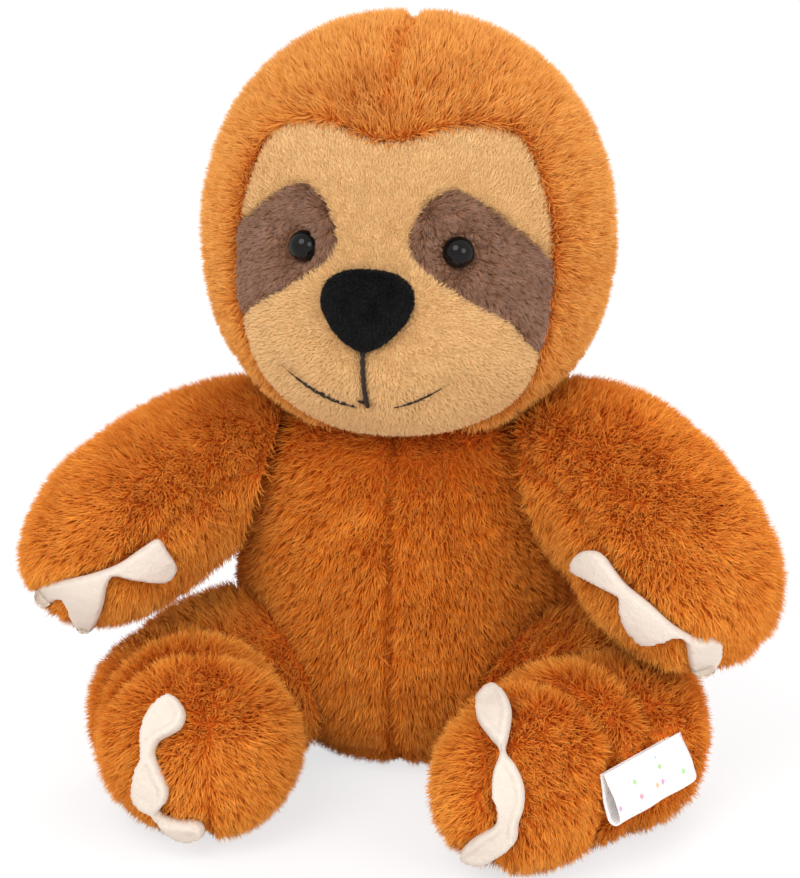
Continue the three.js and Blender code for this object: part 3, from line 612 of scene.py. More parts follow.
def from_photo(surface, pixels, reach):
    """Points and normals where the photograph's pixels meet a surface, or pass nearest to it"""
    back, right, up = camera_axes()
    eye = CAMERA_AIM + back * CAMERA_DISTANCE
    found, normals = [], []
    for x, y in (pixels - FRAME_MIDDLE) / FOCUS:
        ray = unit(right * x - up * y - back)
        hit, normal, _, _ = surface.ray_cast(Vector(eye), Vector(ray))
        if hit is None:
            point = Vector(eye + ray * ((reach - eye) @ ray))
            near, normal, _, _ = surface.find_nearest(point)
            hit = eye + ray * ((np.array(near) - eye) @ ray)
        found.append(tuple(hit))
        normals.append(tuple(normal))
    return np.array(found), np.array(normals)


def to_photo(points):
    """The photograph's pixels where points are seen"""
    back, right, up = camera_axes()
    away = points - CAMERA_AIM - back * CAMERA_DISTANCE
    across, down, depth = away @ right, -(away @ up), -(away @ back)
    return FRAME_MIDDLE + FOCUS * np.stack([across / depth, down / depth], 1)


def under_claws(skin, points, corners):
    """How far points of a skin are from the claws sewn on it, in the photograph's pixels"""
    gap = signed_distance(to_photo(points), closed_spline(corners, 130))
    back, _, _ = camera_axes()
    return np.where(vertex_normals(skin.data) @ back > 0, gap, FAR)


def under_label(points):
    """1 where a skin lies behind the label, 0 elsewhere"""
    away = points - joint_place("label_flap")
    along = np.abs(away @ unit(joint_axis("label_flap")))
    between = step_up(LABEL_WIDTH / 2 + 1.7 - along, 0, 2)
    level = step_up(3 - away[:, 2], 0, 2) * step_up(away[:, 2] + 15, 0, 2)
    return between * level * (away[:, 0] > -9)


def vertex_normals(mesh):
    values = np.zeros(len(mesh.vertices) * 3, np.float32)
    mesh.vertices.foreach_get("normal", values)
    return values.reshape(-1, 3).astype(float)


def give(mesh, name, values):
    """Keeps a number or a vector for each point of a mesh"""
    values = np.asarray(values, np.float32)
    kind, field = ("FLOAT_VECTOR", "vector") if values.ndim == 2 else ("FLOAT", "value")
    mesh.attributes.new(name, kind, "POINT").data.foreach_set(field, values.ravel())


# Materials


def surface_material(name, make):
    """A material from a function that adds nodes and returns the shader's sockets"""
    made = bpy.data.materials.new(name)
    graph = cleared(made)
    shader = graph.node("ShaderNodeBsdfPrincipled", {}, make(graph))
    graph.node("ShaderNodeOutputMaterial", {}, {"Surface": shader})
    return made


def object_place(graph):
    return graph.node("ShaderNodeTexCoord", {}, {}, "Object")


def speckle(graph, place, size, detail=2.0):
    """Even noise from 0 to 1, whose spots are about a size across in metres"""
    sockets = {"Vector": place, "Scale": 1 / size, "Detail": detail, "Roughness": 0.55}
    return graph.node("ShaderNodeTexNoise", {"noise_dimensions": "3D"}, sockets, "Fac")


def ribs(graph, place, direction, scale, distortion):
    """Even stripes, a little wavy"""
    sockets = {"Vector": place, "Scale": scale, "Distortion": distortion}
    return graph.node("ShaderNodeTexWave", {"bands_direction": direction}, sockets, "Fac")


def bump(graph, height, distance, strength=1.0):
    sockets = {"Height": height, "Distance": distance, "Strength": strength}
    return graph.node("ShaderNodeBump", {}, sockets)


def pile_material(name, root, middle, tip, depth_share):
    """Strands: darker at the root and lighter at the tip, partly the pile's own colour and partly painted
    shade deep in the pile and painted sheen at the tips; each has a tone of its own, which carries
    painted shade from the skin
    """

    def make(graph):
        flat = graph.split(graph.node("ShaderNodeUVMap", {"uv_map": "OFBake"}, {}))
        tone, along = flat.part("X"), flat.part("Y")
        low = graph.blend((along / depth_share).clamped(), root, middle)
        shade = graph.blend(((along - depth_share) / (1 - depth_share)).clamped(), low, tip)
        dark = graph.blend(0.6, shade, root)
        light = graph.blend(0.3, shade, tip)
        colour = graph.blend(tone, dark, light)
        return {"Base Color": colour, "Roughness": 0.9 - 0.2 * along, "Specular IOR Level": 0.12}

    return surface_material(name, make)


def backing_material(name, colour, light):
    """Cloth under the pile"""

    def make(graph):
        place = object_place(graph)
        mottle = speckle(graph, place, 0.0012)
        weave = speckle(graph, place, 0.0003)
        return {
            "Base Color": graph.blend(mottle, colour, light),
            "Roughness": 0.85 + 0.1 * mottle,
            "Specular IOR Level": 0.2,
            "Normal": bump(graph, weave + mottle, 0.0004),
        }

    return surface_material(name, make)


def claw_material(name, colour):
    """Brushed fleece with short fibres and faint dents"""

    def make(graph):
        place = object_place(graph)
        fibre = speckle(graph, place, 0.00035, 4.0)
        dent = speckle(graph, place, 0.003)
        # Darker where the fibres and dents lie low in the bump, lighter where they stand up
        raised_share = (fibre * 0.6 + dent * 0.4 - 0.15).clamped()
        return {
            "Base Color": graph.blend(raised_share, scaled(colour, 0.8), colour),
            "Roughness": 0.88 + 0.1 * fibre,
            "Specular IOR Level": 0.2,
            "Normal": bump(graph, fibre * 0.35 + dent, 0.0005, 0.8),
        }

    return surface_material(name, make)


def thread_material(name, colour):
    """Twisted thread"""

    def make(graph):
        twist = ribs(graph, object_place(graph), "DIAGONAL", 900.0, 1.5)
        return {
            "Base Color": graph.blend(twist * 0.6, colour, scaled(colour, 2.2)),
            "Roughness": 0.75 + 0.15 * twist,
            "Normal": bump(graph, twist, 0.0002),
        }

    return surface_material(name, make)


def eye_material(name, colour):
    """Black glossy plastic with faint swirls"""

    def make(graph):
        swirl = speckle(graph, object_place(graph), 0.002)
        return {
            "Base Color": graph.blend(swirl * 0.5, colour, tint(30, 26, 24)),
            "Roughness": 0.04 + 0.05 * swirl,
            "Specular IOR Level": 0.12,
            "Coat Weight": 0.12,
            "Coat Roughness": 0.03,
        }

    return surface_material(name, make)


def plastic_material(name, colour):
    """Plain moulded plastic with a fine grain"""

    def make(graph):
        grain = speckle(graph, object_place(graph), 0.0006)
        return {
            "Base Color": graph.blend(grain, scaled(colour, 0.85), colour),
            "Roughness": 0.45 + 0.15 * grain,
            "Normal": bump(graph, grain, 0.0001),
        }

    return surface_material(name, make)


def label_material(name, colour):
    """Satin ribbon with fine ribs and a scatter of small pastel diamonds"""

    def make(graph):
        uv = graph.node("ShaderNodeUVMap", {"uv_map": "Satin"}, {})
        settings = {"distance": "MANHATTAN", "voronoi_dimensions": "2D"}
        sockets = {"Vector": uv, "Scale": 340.0, "Randomness": 0.55}
        grid = graph.node("ShaderNodeTexVoronoi", settings, sockets, "Distance")
        near = (1.0 - ((grid - 0.2) * 14.0).clamped()).clamped()
        pick = graph.node("ShaderNodeSeparateColor", {}, {"Color": grid.part("Color")})
        hue = graph.node("ShaderNodeValToRGB", {"stops": [
            (0.0, tint(240, 130, 150)), (0.25, tint(250, 175, 110)), (0.45, tint(150, 205, 120)),
            (0.65, tint(120, 180, 225)), (0.85, tint(225, 130, 190)),
        ]}, {"Fac": pick.part("Red")})
        hue.socket.node.color_ramp.interpolation = "CONSTANT"
        height = graph.split(uv).part("Y")
        chosen = ((pick.part("Green") - 0.42) * 50.0).clamped()
        above, below = (height - 0.0016) * 4000.0, (0.0096 - height) * 4000.0
        rib = ribs(graph, uv, "Y", 700.0, 0.4)
        print_share = near * chosen * (above.clamped() * below.clamped()) * 0.85
        return {
            "Base Color": graph.blend(print_share, colour, hue),
            "Roughness": 0.32 + 0.15 * rib,
            "Normal": bump(graph, rib, 0.00004),
        }

    return surface_material(name, make)


# Pile


PILE_INPUTS = (
    ("Skin", "Geometry", None, "Skin that the pile grows on"),
    ("Density", "Float", 1e6, "Strands to a square metre"),
    ("Length", "Float", 0.005, "Length of a strand"),
    ("Width", "Float", 0.0003, "Width of a strand at its root"),
    ("Clump size", "Float", 0.003, "Distance between tufts"),
    ("Clump share", "Float", 0.5, "How far tips are drawn together"),
    ("Sway", "Float", 0.4, "How much the lay of the pile wanders"),
    ("Jitter", "Float", 0.2, "How much each strand goes its own way"),
    ("Seed", "Int", 1, "Number that the random spread starts from"),
    ("Material", "Material", None, "Finish of the strands"),
)
STITCH_INPUTS = (
    ("Line", "Geometry", None, "Line that the stitches follow"),
    ("Stitch", "Float", 0.002, "Length of a stitch"),
    ("Thickness", "Float", 0.0009, "Thickness of the thread"),
    ("Material", "Material", None, "Finish of the thread"),
)
KEPT_FOR_STRANDS = ("tone", "spread", "along", "nap", "pile", "cover", "shade")


def new_tree(name, inputs):
    """A geometry tree with named inputs, still without nodes"""
    tree = bpy.data.node_groups.new(name, "GeometryNodeTree")
    tree.interface.new_socket(name="Geometry", in_out="OUTPUT", socket_type="NodeSocketGeometry")
    for title, kind, default, description in inputs:
        made = tree.interface.new_socket(name=title, in_out="INPUT", description=description,
                                         socket_type=f"NodeSocket{kind}")
        if default is not None:
            made.default_value = default
    return tree


def pile_tree():
    """A strand on each of many points of a skin, leaning with its nap and drawn into tufts"""
    tree = new_tree("Pile", PILE_INPUTS)
    graph = Graph(tree)
    given = graph.node("NodeGroupInput", {}, {})
    seed, clump = given.part("Seed"), given.part("Clump size")
    density = given.part("Density") * graph.named("cover")
    spread = graph.node("GeometryNodeDistributePointsOnFaces", {"distribute_method": "RANDOM"},
                        {"Mesh": given.part("Skin"), "Density": density, "Seed": seed})

    # Which way each strand goes: along its nap, swayed over the skin and drawn to its tuft
    normal = spread.part("Normal")
    place = graph.position()
    nap = graph.named("nap", "FLOAT_VECTOR")
    slow = graph.node("ShaderNodeTexNoise", {},
                      {"Vector": place, "Scale": 0.3 / clump, "Detail": 1.0}, "Color")
    jitter = graph.node("FunctionNodeRandomValue", {"data_type": "FLOAT_VECTOR"},
                        {0: (-1.0, -1.0, -1.0), 1: (1.0, 1.0, 1.0), "Seed": seed})
    wander = (slow - graph.vector(0.5, 0.5, 0.5)) * (given.part("Sway") * 2.0)
    lay = (normal + nap + wander + jitter * given.part("Jitter")).unit()
    length = given.part("Length") * graph.chance(0.72, 1.08, seed + 7) * graph.named("pile")
    cell = graph.node("ShaderNodeTexVoronoi", {}, {"Vector": place, "Scale": 1.0 / clump}, "Position")
    toward = cell - place
    toward = toward - normal * toward.dot(normal)
    tip = lay * length + toward * given.part("Clump share")

    # The strands, and a tone for each from a random share, patchy noise and the skin's shade values,
    # which hold painted shade
    spin = graph.vector(0.0, 0.0, graph.chance(0.0, 6.28, seed + 3))
    turned = graph.node("FunctionNodeEulerToRotation", {}, {0: spin})
    rotation = graph.node("FunctionNodeAlignRotationToVector", {"axis": "Z"},
                          {"Rotation": turned, "Vector": tip})
    half = given.part("Width") * 0.5
    scale = graph.vector(half, half, tip.length())
    strands = graph.node("GeometryNodeInstanceOnPoints", {}, {
        "Points": spread, "Instance": strand_mesh(graph), "Rotation": rotation, "Scale": scale})
    patchy = graph.node("ShaderNodeTexNoise", {},
                        {"Vector": place, "Scale": 0.5 / clump, "Detail": 2.0}, "Fac")
    tone = graph.chance(-0.2, 0.2, seed + 11) + graph.named("shade") + (patchy - 0.5) * 1.1
    strands = graph.store(strands, "tone", tone.clamped(0.02, 0.98), "FLOAT", "INSTANCE")
    strands = graph.node("GeometryNodeRealizeInstances", {}, {"Geometry": strands})

    # Tone and height go into the UV map that the pile's materials read. No tip is below the floor.
    flat = graph.vector(graph.named("tone") + graph.named("spread") * 0.004, graph.named("along"), 0.0)
    strands = graph.store(strands, "OFBake", flat, "FLOAT2", "CORNER")
    above = graph.split(graph.position())
    height = graph.node("ShaderNodeMath", {"operation": "MAXIMUM"}, (above.part("Z"), 0.0003))
    clear = graph.vector(above.part("X"), above.part("Y"), height)
    strands = graph.node("GeometryNodeSetPosition", {}, {"Geometry": strands, "Position": clear})
    for name in KEPT_FOR_STRANDS:
        strands = graph.node("GeometryNodeRemoveAttribute", {}, {"Geometry": strands, "Name": name})
    coloured = {"Geometry": strands, "Material": given.part("Material")}
    graph.node("NodeGroupOutput", {}, {0: graph.node("GeometryNodeSetMaterial", {}, coloured)})
    return tree


def strand_mesh(graph):
    """A closed spike one unit long, with its height and its side kept for each point"""
    cone = graph.node("GeometryNodeMeshCone", {"fill_type": "NGON"}, {
        "Vertices": 3, "Side Segments": 1, "Radius Top": 0.0, "Radius Bottom": 1.0, "Depth": 1.0})
    flat = graph.split(graph.position())
    for name, value in (("along", flat.part("Z")), ("spread", flat.part("X"))):
        cone = graph.store(cone, name, value, "FLOAT", "POINT")
    return cone


def evaluated(made, tree, values):
    """The plain mesh that a node tree makes of an object; the modifier goes with the object"""
    modifier = made.modifiers.new("Nodes", "NODES")
    modifier.node_group = tree
    named = {item.name: item.identifier for item in tree.interface.items_tree if item.in_out == "INPUT"}
    for name, value in values.items():
        modifier[named[name]] = value
    depsgraph = bpy.context.evaluated_depsgraph_get()
    mesh = bpy.data.meshes.new_from_object(made.evaluated_get(depsgraph),
                                           preserve_all_data_layers=True, depsgraph=depsgraph)
    made.modifiers.remove(modifier)
    return mesh


def cover_of(mesh):
    cover = np.zeros(len(mesh.vertices), np.float32)
    mesh.attributes["cover"].data.foreach_get("value", cover)
    return cover


def covered_area(mesh):
    """Area in square metres that carries pile"""
    cover = cover_of(mesh)
    return sum(face.area * float(np.mean(cover[list(face.vertices)])) for face in mesh.polygons)


def grow_pile(name, skin, finish, body, strands, length, width, clump, seed,
              keep=None, clump_share=0.5, sway=0.7):
    """Strands on a skin, or on the part of it that keep marks, as a piece of its own"""
    source = new_object(name, skin.data.copy())
    if keep is not None:
        cover = cover_of(source.data) * keep
        source.data.attributes["cover"].data.foreach_set("value", cover.astype(np.float32))
    mesh = evaluated(source, trees()["pile"], {
        "Density": strands / covered_area(source.data), "Length": length, "Width": width,
        "Clump size": clump, "Clump share": clump_share, "Sway": sway, "Jitter": 0.45,
        "Seed": seed, "Material": materials()[finish]})
    bpy.data.objects.remove(source)
    mesh.name = name
    made = new_object(name, mesh)
    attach(made, body)


def grow_long_pile(name, skin, finish, body, seed, keep=None):
    """The long pile of the hood, the body and the limbs, in the sizes that the user set"""
    sizes = bpy.context.scene.sloth_sizes
    grow_pile(name, skin, finish, body, sizes.strands, sizes.pile_length, sizes.pile_width,
              sizes.clump, seed, keep)


TREES = {}


def trees():
    if not TREES:
        TREES["pile"] = pile_tree()
        TREES["stitches"] = stitch_tree()
    return TREES


def stitch_tree():
    """Rounded stitches laid end to end along a line"""
    tree = new_tree("Stitches", STITCH_INPUTS)
    graph = Graph(tree)
    given = graph.node("NodeGroupInput", {}, {})
    curve = graph.node("GeometryNodeMeshToCurve", {}, {"Mesh": given})
    points = graph.node("GeometryNodeCurveToPoints", {"mode": "LENGTH"},
                        {"Curve": curve, "Length": given.part("Stitch") * 0.82})
    ball = graph.node("GeometryNodeMeshUVSphere", {}, {"Segments": 10, "Rings": 7, "Radius": 0.5})
    thick = given.part("Thickness") * graph.named("taper")
    stitches = graph.node("GeometryNodeInstanceOnPoints", {}, {
        "Points": points, "Instance": ball, "Rotation": points.part("Rotation"),
        "Scale": graph.vector(thick, thick, given.part("Stitch") * 1.12)})
    real = graph.node("GeometryNodeRealizeInstances", {}, {"Geometry": stitches})
    smooth = graph.node("GeometryNodeSetShadeSmooth", {}, {"Geometry": real, "Shade Smooth": True})
    bare = graph.node("GeometryNodeRemoveAttribute", {}, {"Geometry": smooth, "Name": "taper"})
    coloured = {"Geometry": bare, "Material": given.part("Material")}
    graph.node("NodeGroupOutput", {}, {0: graph.node("GeometryNodeSetMaterial", {}, coloured)})
    return tree


# Skins


MATERIALS = {}


def materials():
    """Every finish of the toy, made once from the colour settings"""
    if not MATERIALS:
        colours = bpy.context.scene.sloth_colours
        face, patch, nose = colours.face, colours.patch, colours.nose
        MATERIALS.update({
            "fur": pile_material("Fur", colours.root, colours.middle, colours.tip, 0.5),
            "hood_fur": pile_material("Hood fur", colours.hood_root, colours.hood_middle,
                                      colours.hood_tip, 0.5),
            "backing": backing_material("Fur backing", colours.backing, scaled(colours.root, 1.2)),
            "face_pile": pile_material("Face pile", scaled(face, 0.68), face, whiter(face, 0.12), 0.4),
            "face": backing_material("Face velour", scaled(face, 0.66), scaled(face, 0.9)),
            "patch_pile": pile_material("Patch pile", scaled(patch, 0.3), patch, whiter(patch, 0.2), 0.4),
            "patch": backing_material("Patch velour", scaled(patch, 0.4), scaled(patch, 0.7)),
            "nose_pile": pile_material("Nose pile", scaled(nose, 0.5), nose, whiter(nose, 0.03), 0.5),
            "nose": backing_material("Nose velour", scaled(nose, 0.6), nose),
            "claw": claw_material("Claw fleece", colours.claw),
            "thread": thread_material("Thread", colours.thread),
            "eye": eye_material("Eye plastic", colours.eye),
            "washer": plastic_material("Washer plastic", tint(232, 232, 230)),
            "label": label_material("Label satin", colours.label),
        })
    return MATERIALS


def dress(piece, finish, body, nodes):
    """Gives a piece its finish and its body, and hides the solids that it stands for"""
    piece.data.materials.append(materials()[finish])
    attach(piece, body)
    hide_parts(*nodes)


def limb_pile(skin, form, limb, side, seam, outline, start):
    """How long and how thick a limb's pile is: short round the claws, none inside the body"""
    place, normal = seat(side, limb)
    above = (form.points - place) @ normal - STANDOFF
    claws = np.where(form.place > start, under_claws(skin, form.points, outline), FAR)
    pile = 0.7 - 0.2 * seam - 0.3 * step_up(14 - claws, 0, 16)
    return pile, step_up(above, 0.1, 1.0) * step_up(claws, -9, 0)


def lay_nap(skin, nap, lean, pile, cover, shade):
    """Keeps how the pile lies: which way, how far it leans, how long and thick it is, and its tone, in
    which the callers paint shade
    """
    normals = vertex_normals(skin.data)
    flat = nap - normals * (nap * normals).sum(1, keepdims=True)
    reach = np.linalg.norm(flat, axis=1, keepdims=True)
    give(skin.data, "nap", flat / np.maximum(reach, 0.35) * np.reshape(lean, (-1, 1)))
    give(skin.data, "pile", pile)
    give(skin.data, "cover", cover)
    give(skin.data, "shade", shade)


def seat(side, limb):
    """A limb's seat on the body: its place and the way that it faces"""
    name = f"{limb}_{'left' if side > 0 else 'right'}_{'twist' if limb == 'arm' else 'lift'}"
    axis = joint_axis(name)
    return joint_place(name), unit(axis * np.sign(axis[0] * side))


def body_form():
    wide, deep = BODY_WIDTH * np.array(BODY_WIDE), BODY_DEPTH * np.array(BODY_DEEP)
    form = Form([(0, 0, -0.5), (0, 0, BODY_TOP)], wide, deep, LEFT, *BODY_MESH)
    form.press(np.zeros(3), -UP)
    form.press(np.array([0, 0, NECK_Z]), UP)
    for _, side in SIDES:
        for limb in ("arm", "leg"):
            form.press(*seat(side, limb))
    return form


def muzzle(points):
    """How far the muzzle swells forward of the round head"""
    across = points[:, 0] / 22
    up = (points[:, 2] - (HEAD_MIDDLE - 18)) / 16
    share = np.clip(-points[:, 1] / (HEAD_DEPTH / 4), 0, 1)
    return 10 * np.exp(-(across**2 + up**2)) * share


def head_form():
    wide, deep = HEAD_WIDTH * np.array(HEAD_WIDE), HEAD_DEPTH * np.array(HEAD_DEEP)
    path = [(0, -HEAD_FORWARD, HEAD_LOW), (0, -HEAD_FORWARD, HEAD_LOW + HEAD_HEIGHT)]
    form = Form(path, wide, deep, LEFT, *HEAD_MESH)
    form.points[:, 1] -= muzzle(form.points)
    form.press(np.array([0, 0, NECK_Z + STANDOFF]), -UP)
    return form


def arm_form(side):
    point, normal = seat(side, "arm")
    aim = facing(side, ARM_TURN, -ARM_DROP[side])
    path = [
        point - aim * ARM_THICKNESS / 3,
        point + normal * ARM_THICKNESS / 6 + aim * ARM_LENGTH[side] / 3 + UP * ARM_RISE[side],
        point + aim * ARM_LENGTH[side],
    ]
    level = unit(np.cross(aim, UP))
    roll = math.radians(-side * ARM_ROLL)
    level = level * math.cos(roll) + np.cross(aim, level) * math.sin(roll)
    wide = ARM_WIDTH * ARM_FULL[side] * np.array([*ARM_WIDE, HAND_FULL[side]])
    deep = ARM_THICKNESS * ARM_FULL[side] * np.array(ARM_DEEP)
    form = Form(path, wide, deep, level, *ARM_MESH)
    form.press(point + normal * STANDOFF, -normal)
    form.aim, form.level = aim, level
    return form


def leg_form(side):
    point, normal = seat(side, "leg")
    rest = lambda share: LEG_THICKNESS / 2 * share - 0.5
    knee = np.array([side * KNEE_SIDE[side], -24, rest(0.94)])
    toe = np.array([side * FOOT_SIDE[side], -FOOT_FORWARD[side], rest(1.04)])
    shin = (knee + toe) / 2
    shin[2] = toe[2]
    path = [point - normal * LEG_WIDTH / 2, knee, shin, toe]
    wide = LEG_WIDTH * np.array([*LEG_WIDE, FOOT_FULL[side], FOOT_FULL[side]])
    deep = LEG_THICKNESS * np.array(LEG_DEEP)
    form = Form(path, wide, deep, side * LEFT, *LEG_MESH)
    form.press(point + normal * STANDOFF, -normal)
    form.press(np.zeros(3), -UP)
    return form


def face_outline(steps=160):
    right = [(x * FACE_SIZE[0], z * FACE_SIZE[1]) for x, z in FACE_SHARES]
    left = [(-x, z) for x, z in right[-2:0:-1]]
    return closed_spline(right + left, steps) + [FACE_SHIFT, HEAD_MIDDLE - FACE_DROP]


def patch_outline(side, steps=100):
    """The outline of an eye patch, kept inside the face"""
    corners = [(side * x + FEATURE_SKEW, HEAD_MIDDLE + z) for x, z in PATCH_CORNERS]
    outline = closed_spline(corners, steps)
    face = face_outline(900)
    middle = np.array([FACE_SHIFT, HEAD_MIDDLE - FACE_DROP])
    inner = middle + (face - middle) * 0.985
    beyond = signed_distance(outline, inner) > 0
    for i in np.flatnonzero(beyond):
        outline[i] = inner[np.argmin(np.linalg.norm(inner - outline[i], axis=1))]
    keep = [0]
    for i in range(1, len(outline)):
        if np.linalg.norm(outline[i] - outline[keep[-1]]) > 0.2:
            keep.append(i)
    return outline[keep]


def eye_place(side):
    return np.array([side * EYE_SIDE + FEATURE_SKEW, HEAD_MIDDLE + EYE_RISE])


def mouth_lines():
    """The line under the nose and both halves of the smile, with how thick the thread is along them"""
    top = HEAD_MIDDLE - NOSE_DROP - NOSE_SIZE[1] + 0.8
    low = HEAD_MIDDLE - MOUTH_DROP
    middle = FEATURE_SKEW - 0.5
    share, smile = np.linspace(0, 1, 30), np.linspace(0, 1, 40)
    down = np.stack([np.full(30, middle), top + share * (low - top)], 1)
    cross = np.stack([middle + (2 * share - 1) * 0.6, low + 0.5 - 0.3 * share], 1)
    lines = [(down, np.full(30, 1.1)), (cross, np.full(30, 0.7))]
    for side, start, reach, rise, full in SMILE_HALVES:
        across = side * (start + smile * (reach - start)) + FEATURE_SKEW
        up = low - 1.2 + (rise + 1.2) * (start / reach + smile * (1 - start / reach)) ** 1.8
        lines.append((np.stack([across, up], 1), full * (1 - 0.75 * np.abs(2 * smile - 0.8) ** 2)))
    return lines


# Operators, one for each piece or group of like pieces


class SLOTH_OT_head(bpy.types.Operator):
    """Build the hood's stuffed skin and its long pile"""

    bl_idname = "sloth.head"
    bl_label = "Head"

    def execute(self, context):
        form = head_form()
        x, y, z = form.points.T
        gap = signed_distance(form.points[:, [0, 2]], face_outline())
        front = y < -2
        in_face = front & (gap < 0)
        y[in_face] += np.minimum(-gap[in_face], 2.0) * 1.7
        skin = mesh_object("head_hood", form.points, form.faces)
        nodes = ("head_hood_left", "head_hood_right", "head_stuffing")
        dress(skin, "backing", "head", nodes)
        away = form.points - np.array([0, -30, HEAD_MIDDLE - FACE_DROP])
        away[:, 1] *= 0.4
        back = step_up(y, 0, 32)[:, None]
        nap = unit(away) * (1 - back) * 0.8 - UP * (0.15 + 0.75 * back)
        seam = hump(x, 1.5) * (z > HEAD_MIDDLE) * step_up(z, 132, 141)
        nap += np.sign(x)[:, None] * LEFT * seam[:, None] * 0.4
        near_face = np.exp(-np.maximum(gap, 0) / 3.0) * front
        pile = 0.68 - 0.4 * seam - 0.06 * near_face - 0.18 * step_up(HEAD_MIDDLE + 6 - z, 0, 26)
        cover = np.where(front, step_up(gap, -1.3, -0.5), 1) * (z > NECK_Z + STANDOFF + 0.2)
        cover = cover * (1 - 0.4 * step_up(y, 4, 16))
        # Painted shade in the tone: darker along the crown's seam, at the face's rim and on the lower
        # head; it is also darker in a band across the front of the crown
        crown = hump(z - HEAD_MIDDLE - 31, 6) * step_up(30 - np.abs(x), 0, 16)
        low = step_up(HEAD_MIDDLE - z, 5, 38)
        shade = 0.6 - 0.3 * seam - 0.05 * near_face - 0.12 * low - 0.12 * crown * front
        lay_nap(skin, nap, 0.7 - 0.6 * near_face, pile, cover, shade)
        for word, side in SIDES:
            keep = step_up(x * side, -0.4, 0.4)
            grow_long_pile(f"head_fur_{word}", skin, "hood_fur", "head", 2 + side, keep)
        return {"FINISHED"}


class SLOTH_OT_face(bpy.types.Operator):
    """Build the velour face, its two eye patches and their short pile"""

    bl_idname = "sloth.face"
    bl_label = "Face"

    def shape(self, flat, lift):
        """The face's surface: the head with dents for the eyes and the ends of the smile"""
        form = head_form()
        points, normals = from_front(surface_of(form.points, form.faces), flat)
        depth = np.zeros(len(flat))
        for _, side in SIDES:
            eye = np.linalg.norm(flat - eye_place(side), axis=1)
            end = [side * SMILE_END[0] + FEATURE_SKEW, HEAD_MIDDLE + SMILE_END[1]]
            depth += 1.1 * hump(eye, 5)
            depth += 1.0 * hump(np.linalg.norm(flat - end, axis=1), 3.2)
        for number, (line, _) in enumerate(mouth_lines()):
            depth += (0.7 if number == 0 else 0.35) * hump(line_distance(flat, line), 1.4)
        smooth = unit(normals + np.array([0, -0.4, 0]))
        return points + smooth * (lift - depth)[:, None], smooth

    def execute(self, context):
        sizes = context.scene.sloth_sizes
        outline = face_outline()
        flat, faces = filled(outline, 0.9)
        inside = -signed_distance(flat, outline)
        near = np.min([signed_distance(flat, patch_outline(side)) for _, side in SIDES], axis=0)
        lift = 0.5 - 1.6 * hump(inside, 0.9) - 0.55 * hump(near, 0.8) - 1.3 * (near < 0)
        front, out = self.shape(flat, lift)
        face = slab("face_panel", front, front - out * 1.4, faces)
        dress(face, "face", "head", ["face_panel"])
        away = unit(twice(front) - np.array([FEATURE_SKEW, 0, HEAD_MIDDLE - 4]))
        above = step_up(twice(flat[:, 1]), HEAD_MIDDLE - 8, HEAD_MIDDLE + 12)[:, None]
        nap = away * [0.9, 0, 0.6] * (1 - above) + (UP * 0.8 + away * [0.5, 0, 0.2]) * above
        stitched = np.min([line_distance(flat, line) for line, _ in mouth_lines()], axis=0)
        cover = front_only((near > 0.15) * step_up(inside, 0.1, 0.6) * (stitched > 0.5))
        # Painted shade: the velour's tone is darker where the face dips, at the eye patches, at its own
        # rim and along the mouth's stitches
        tone = 0.56 - 0.2 * hump(near, 1.2) - 0.2 * hump(inside, 1.5) - 0.15 * hump(stitched, 1.2)
        lay_nap(face, nap, 0.9, np.ones(len(cover)), cover, twice(tone))
        grow_pile("face_pile", face, "face_pile", "head", FACE_STRANDS,
                  sizes.velour_length, sizes.velour_width, 0.0011, 5, sway=0.45)
        for word, side in SIDES:
            self.patch(word, side, sizes)
        return {"FINISHED"}

    def patch(self, word, side, sizes):
        outline = patch_outline(side)
        flat, faces = filled(outline, 0.8)
        inside = -signed_distance(flat, outline)
        face_edge = -signed_distance(flat, face_outline())
        eye = np.linalg.norm(flat - eye_place(side), axis=1)
        lift = 0.35 - 1.0 * hump(inside, 0.8) - 1.5 * hump(np.maximum(face_edge, 0), 1.0)
        lift -= 1.0 * np.exp(-(eye / 4.2) ** 4)
        front, out = self.shape(flat, lift + 0.25)
        patch = slab(f"eye_patch_{word}", front, front - out, faces)
        dress(patch, "patch", "head", [f"eye_patch_{word}"])
        away = unit(twice(front) - np.array([side * 8, -30, HEAD_MIDDLE + 12]))
        cover = front_only((eye > 2.8) * step_up(face_edge, 0.1, 0.8) * (inside > 0.1))
        # Painted shade: the patch's tone is darker at its sunk rim
        tone = 0.5 - 0.15 * hump(inside, 1.2)
        pile = 1 - 0.6 * hump(np.maximum(eye - 3, 0), 2.0)
        lay_nap(patch, away * [0.9, 0, 0.9] - UP * 0.2, 0.9, twice(pile), cover, twice(tone))
        grow_pile(f"eye_patch_pile_{word}", patch, "patch_pile", "head", PATCH_STRANDS,
                  sizes.velour_length * 1.6, sizes.velour_width, 0.0014, 9, clump_share=0.55)


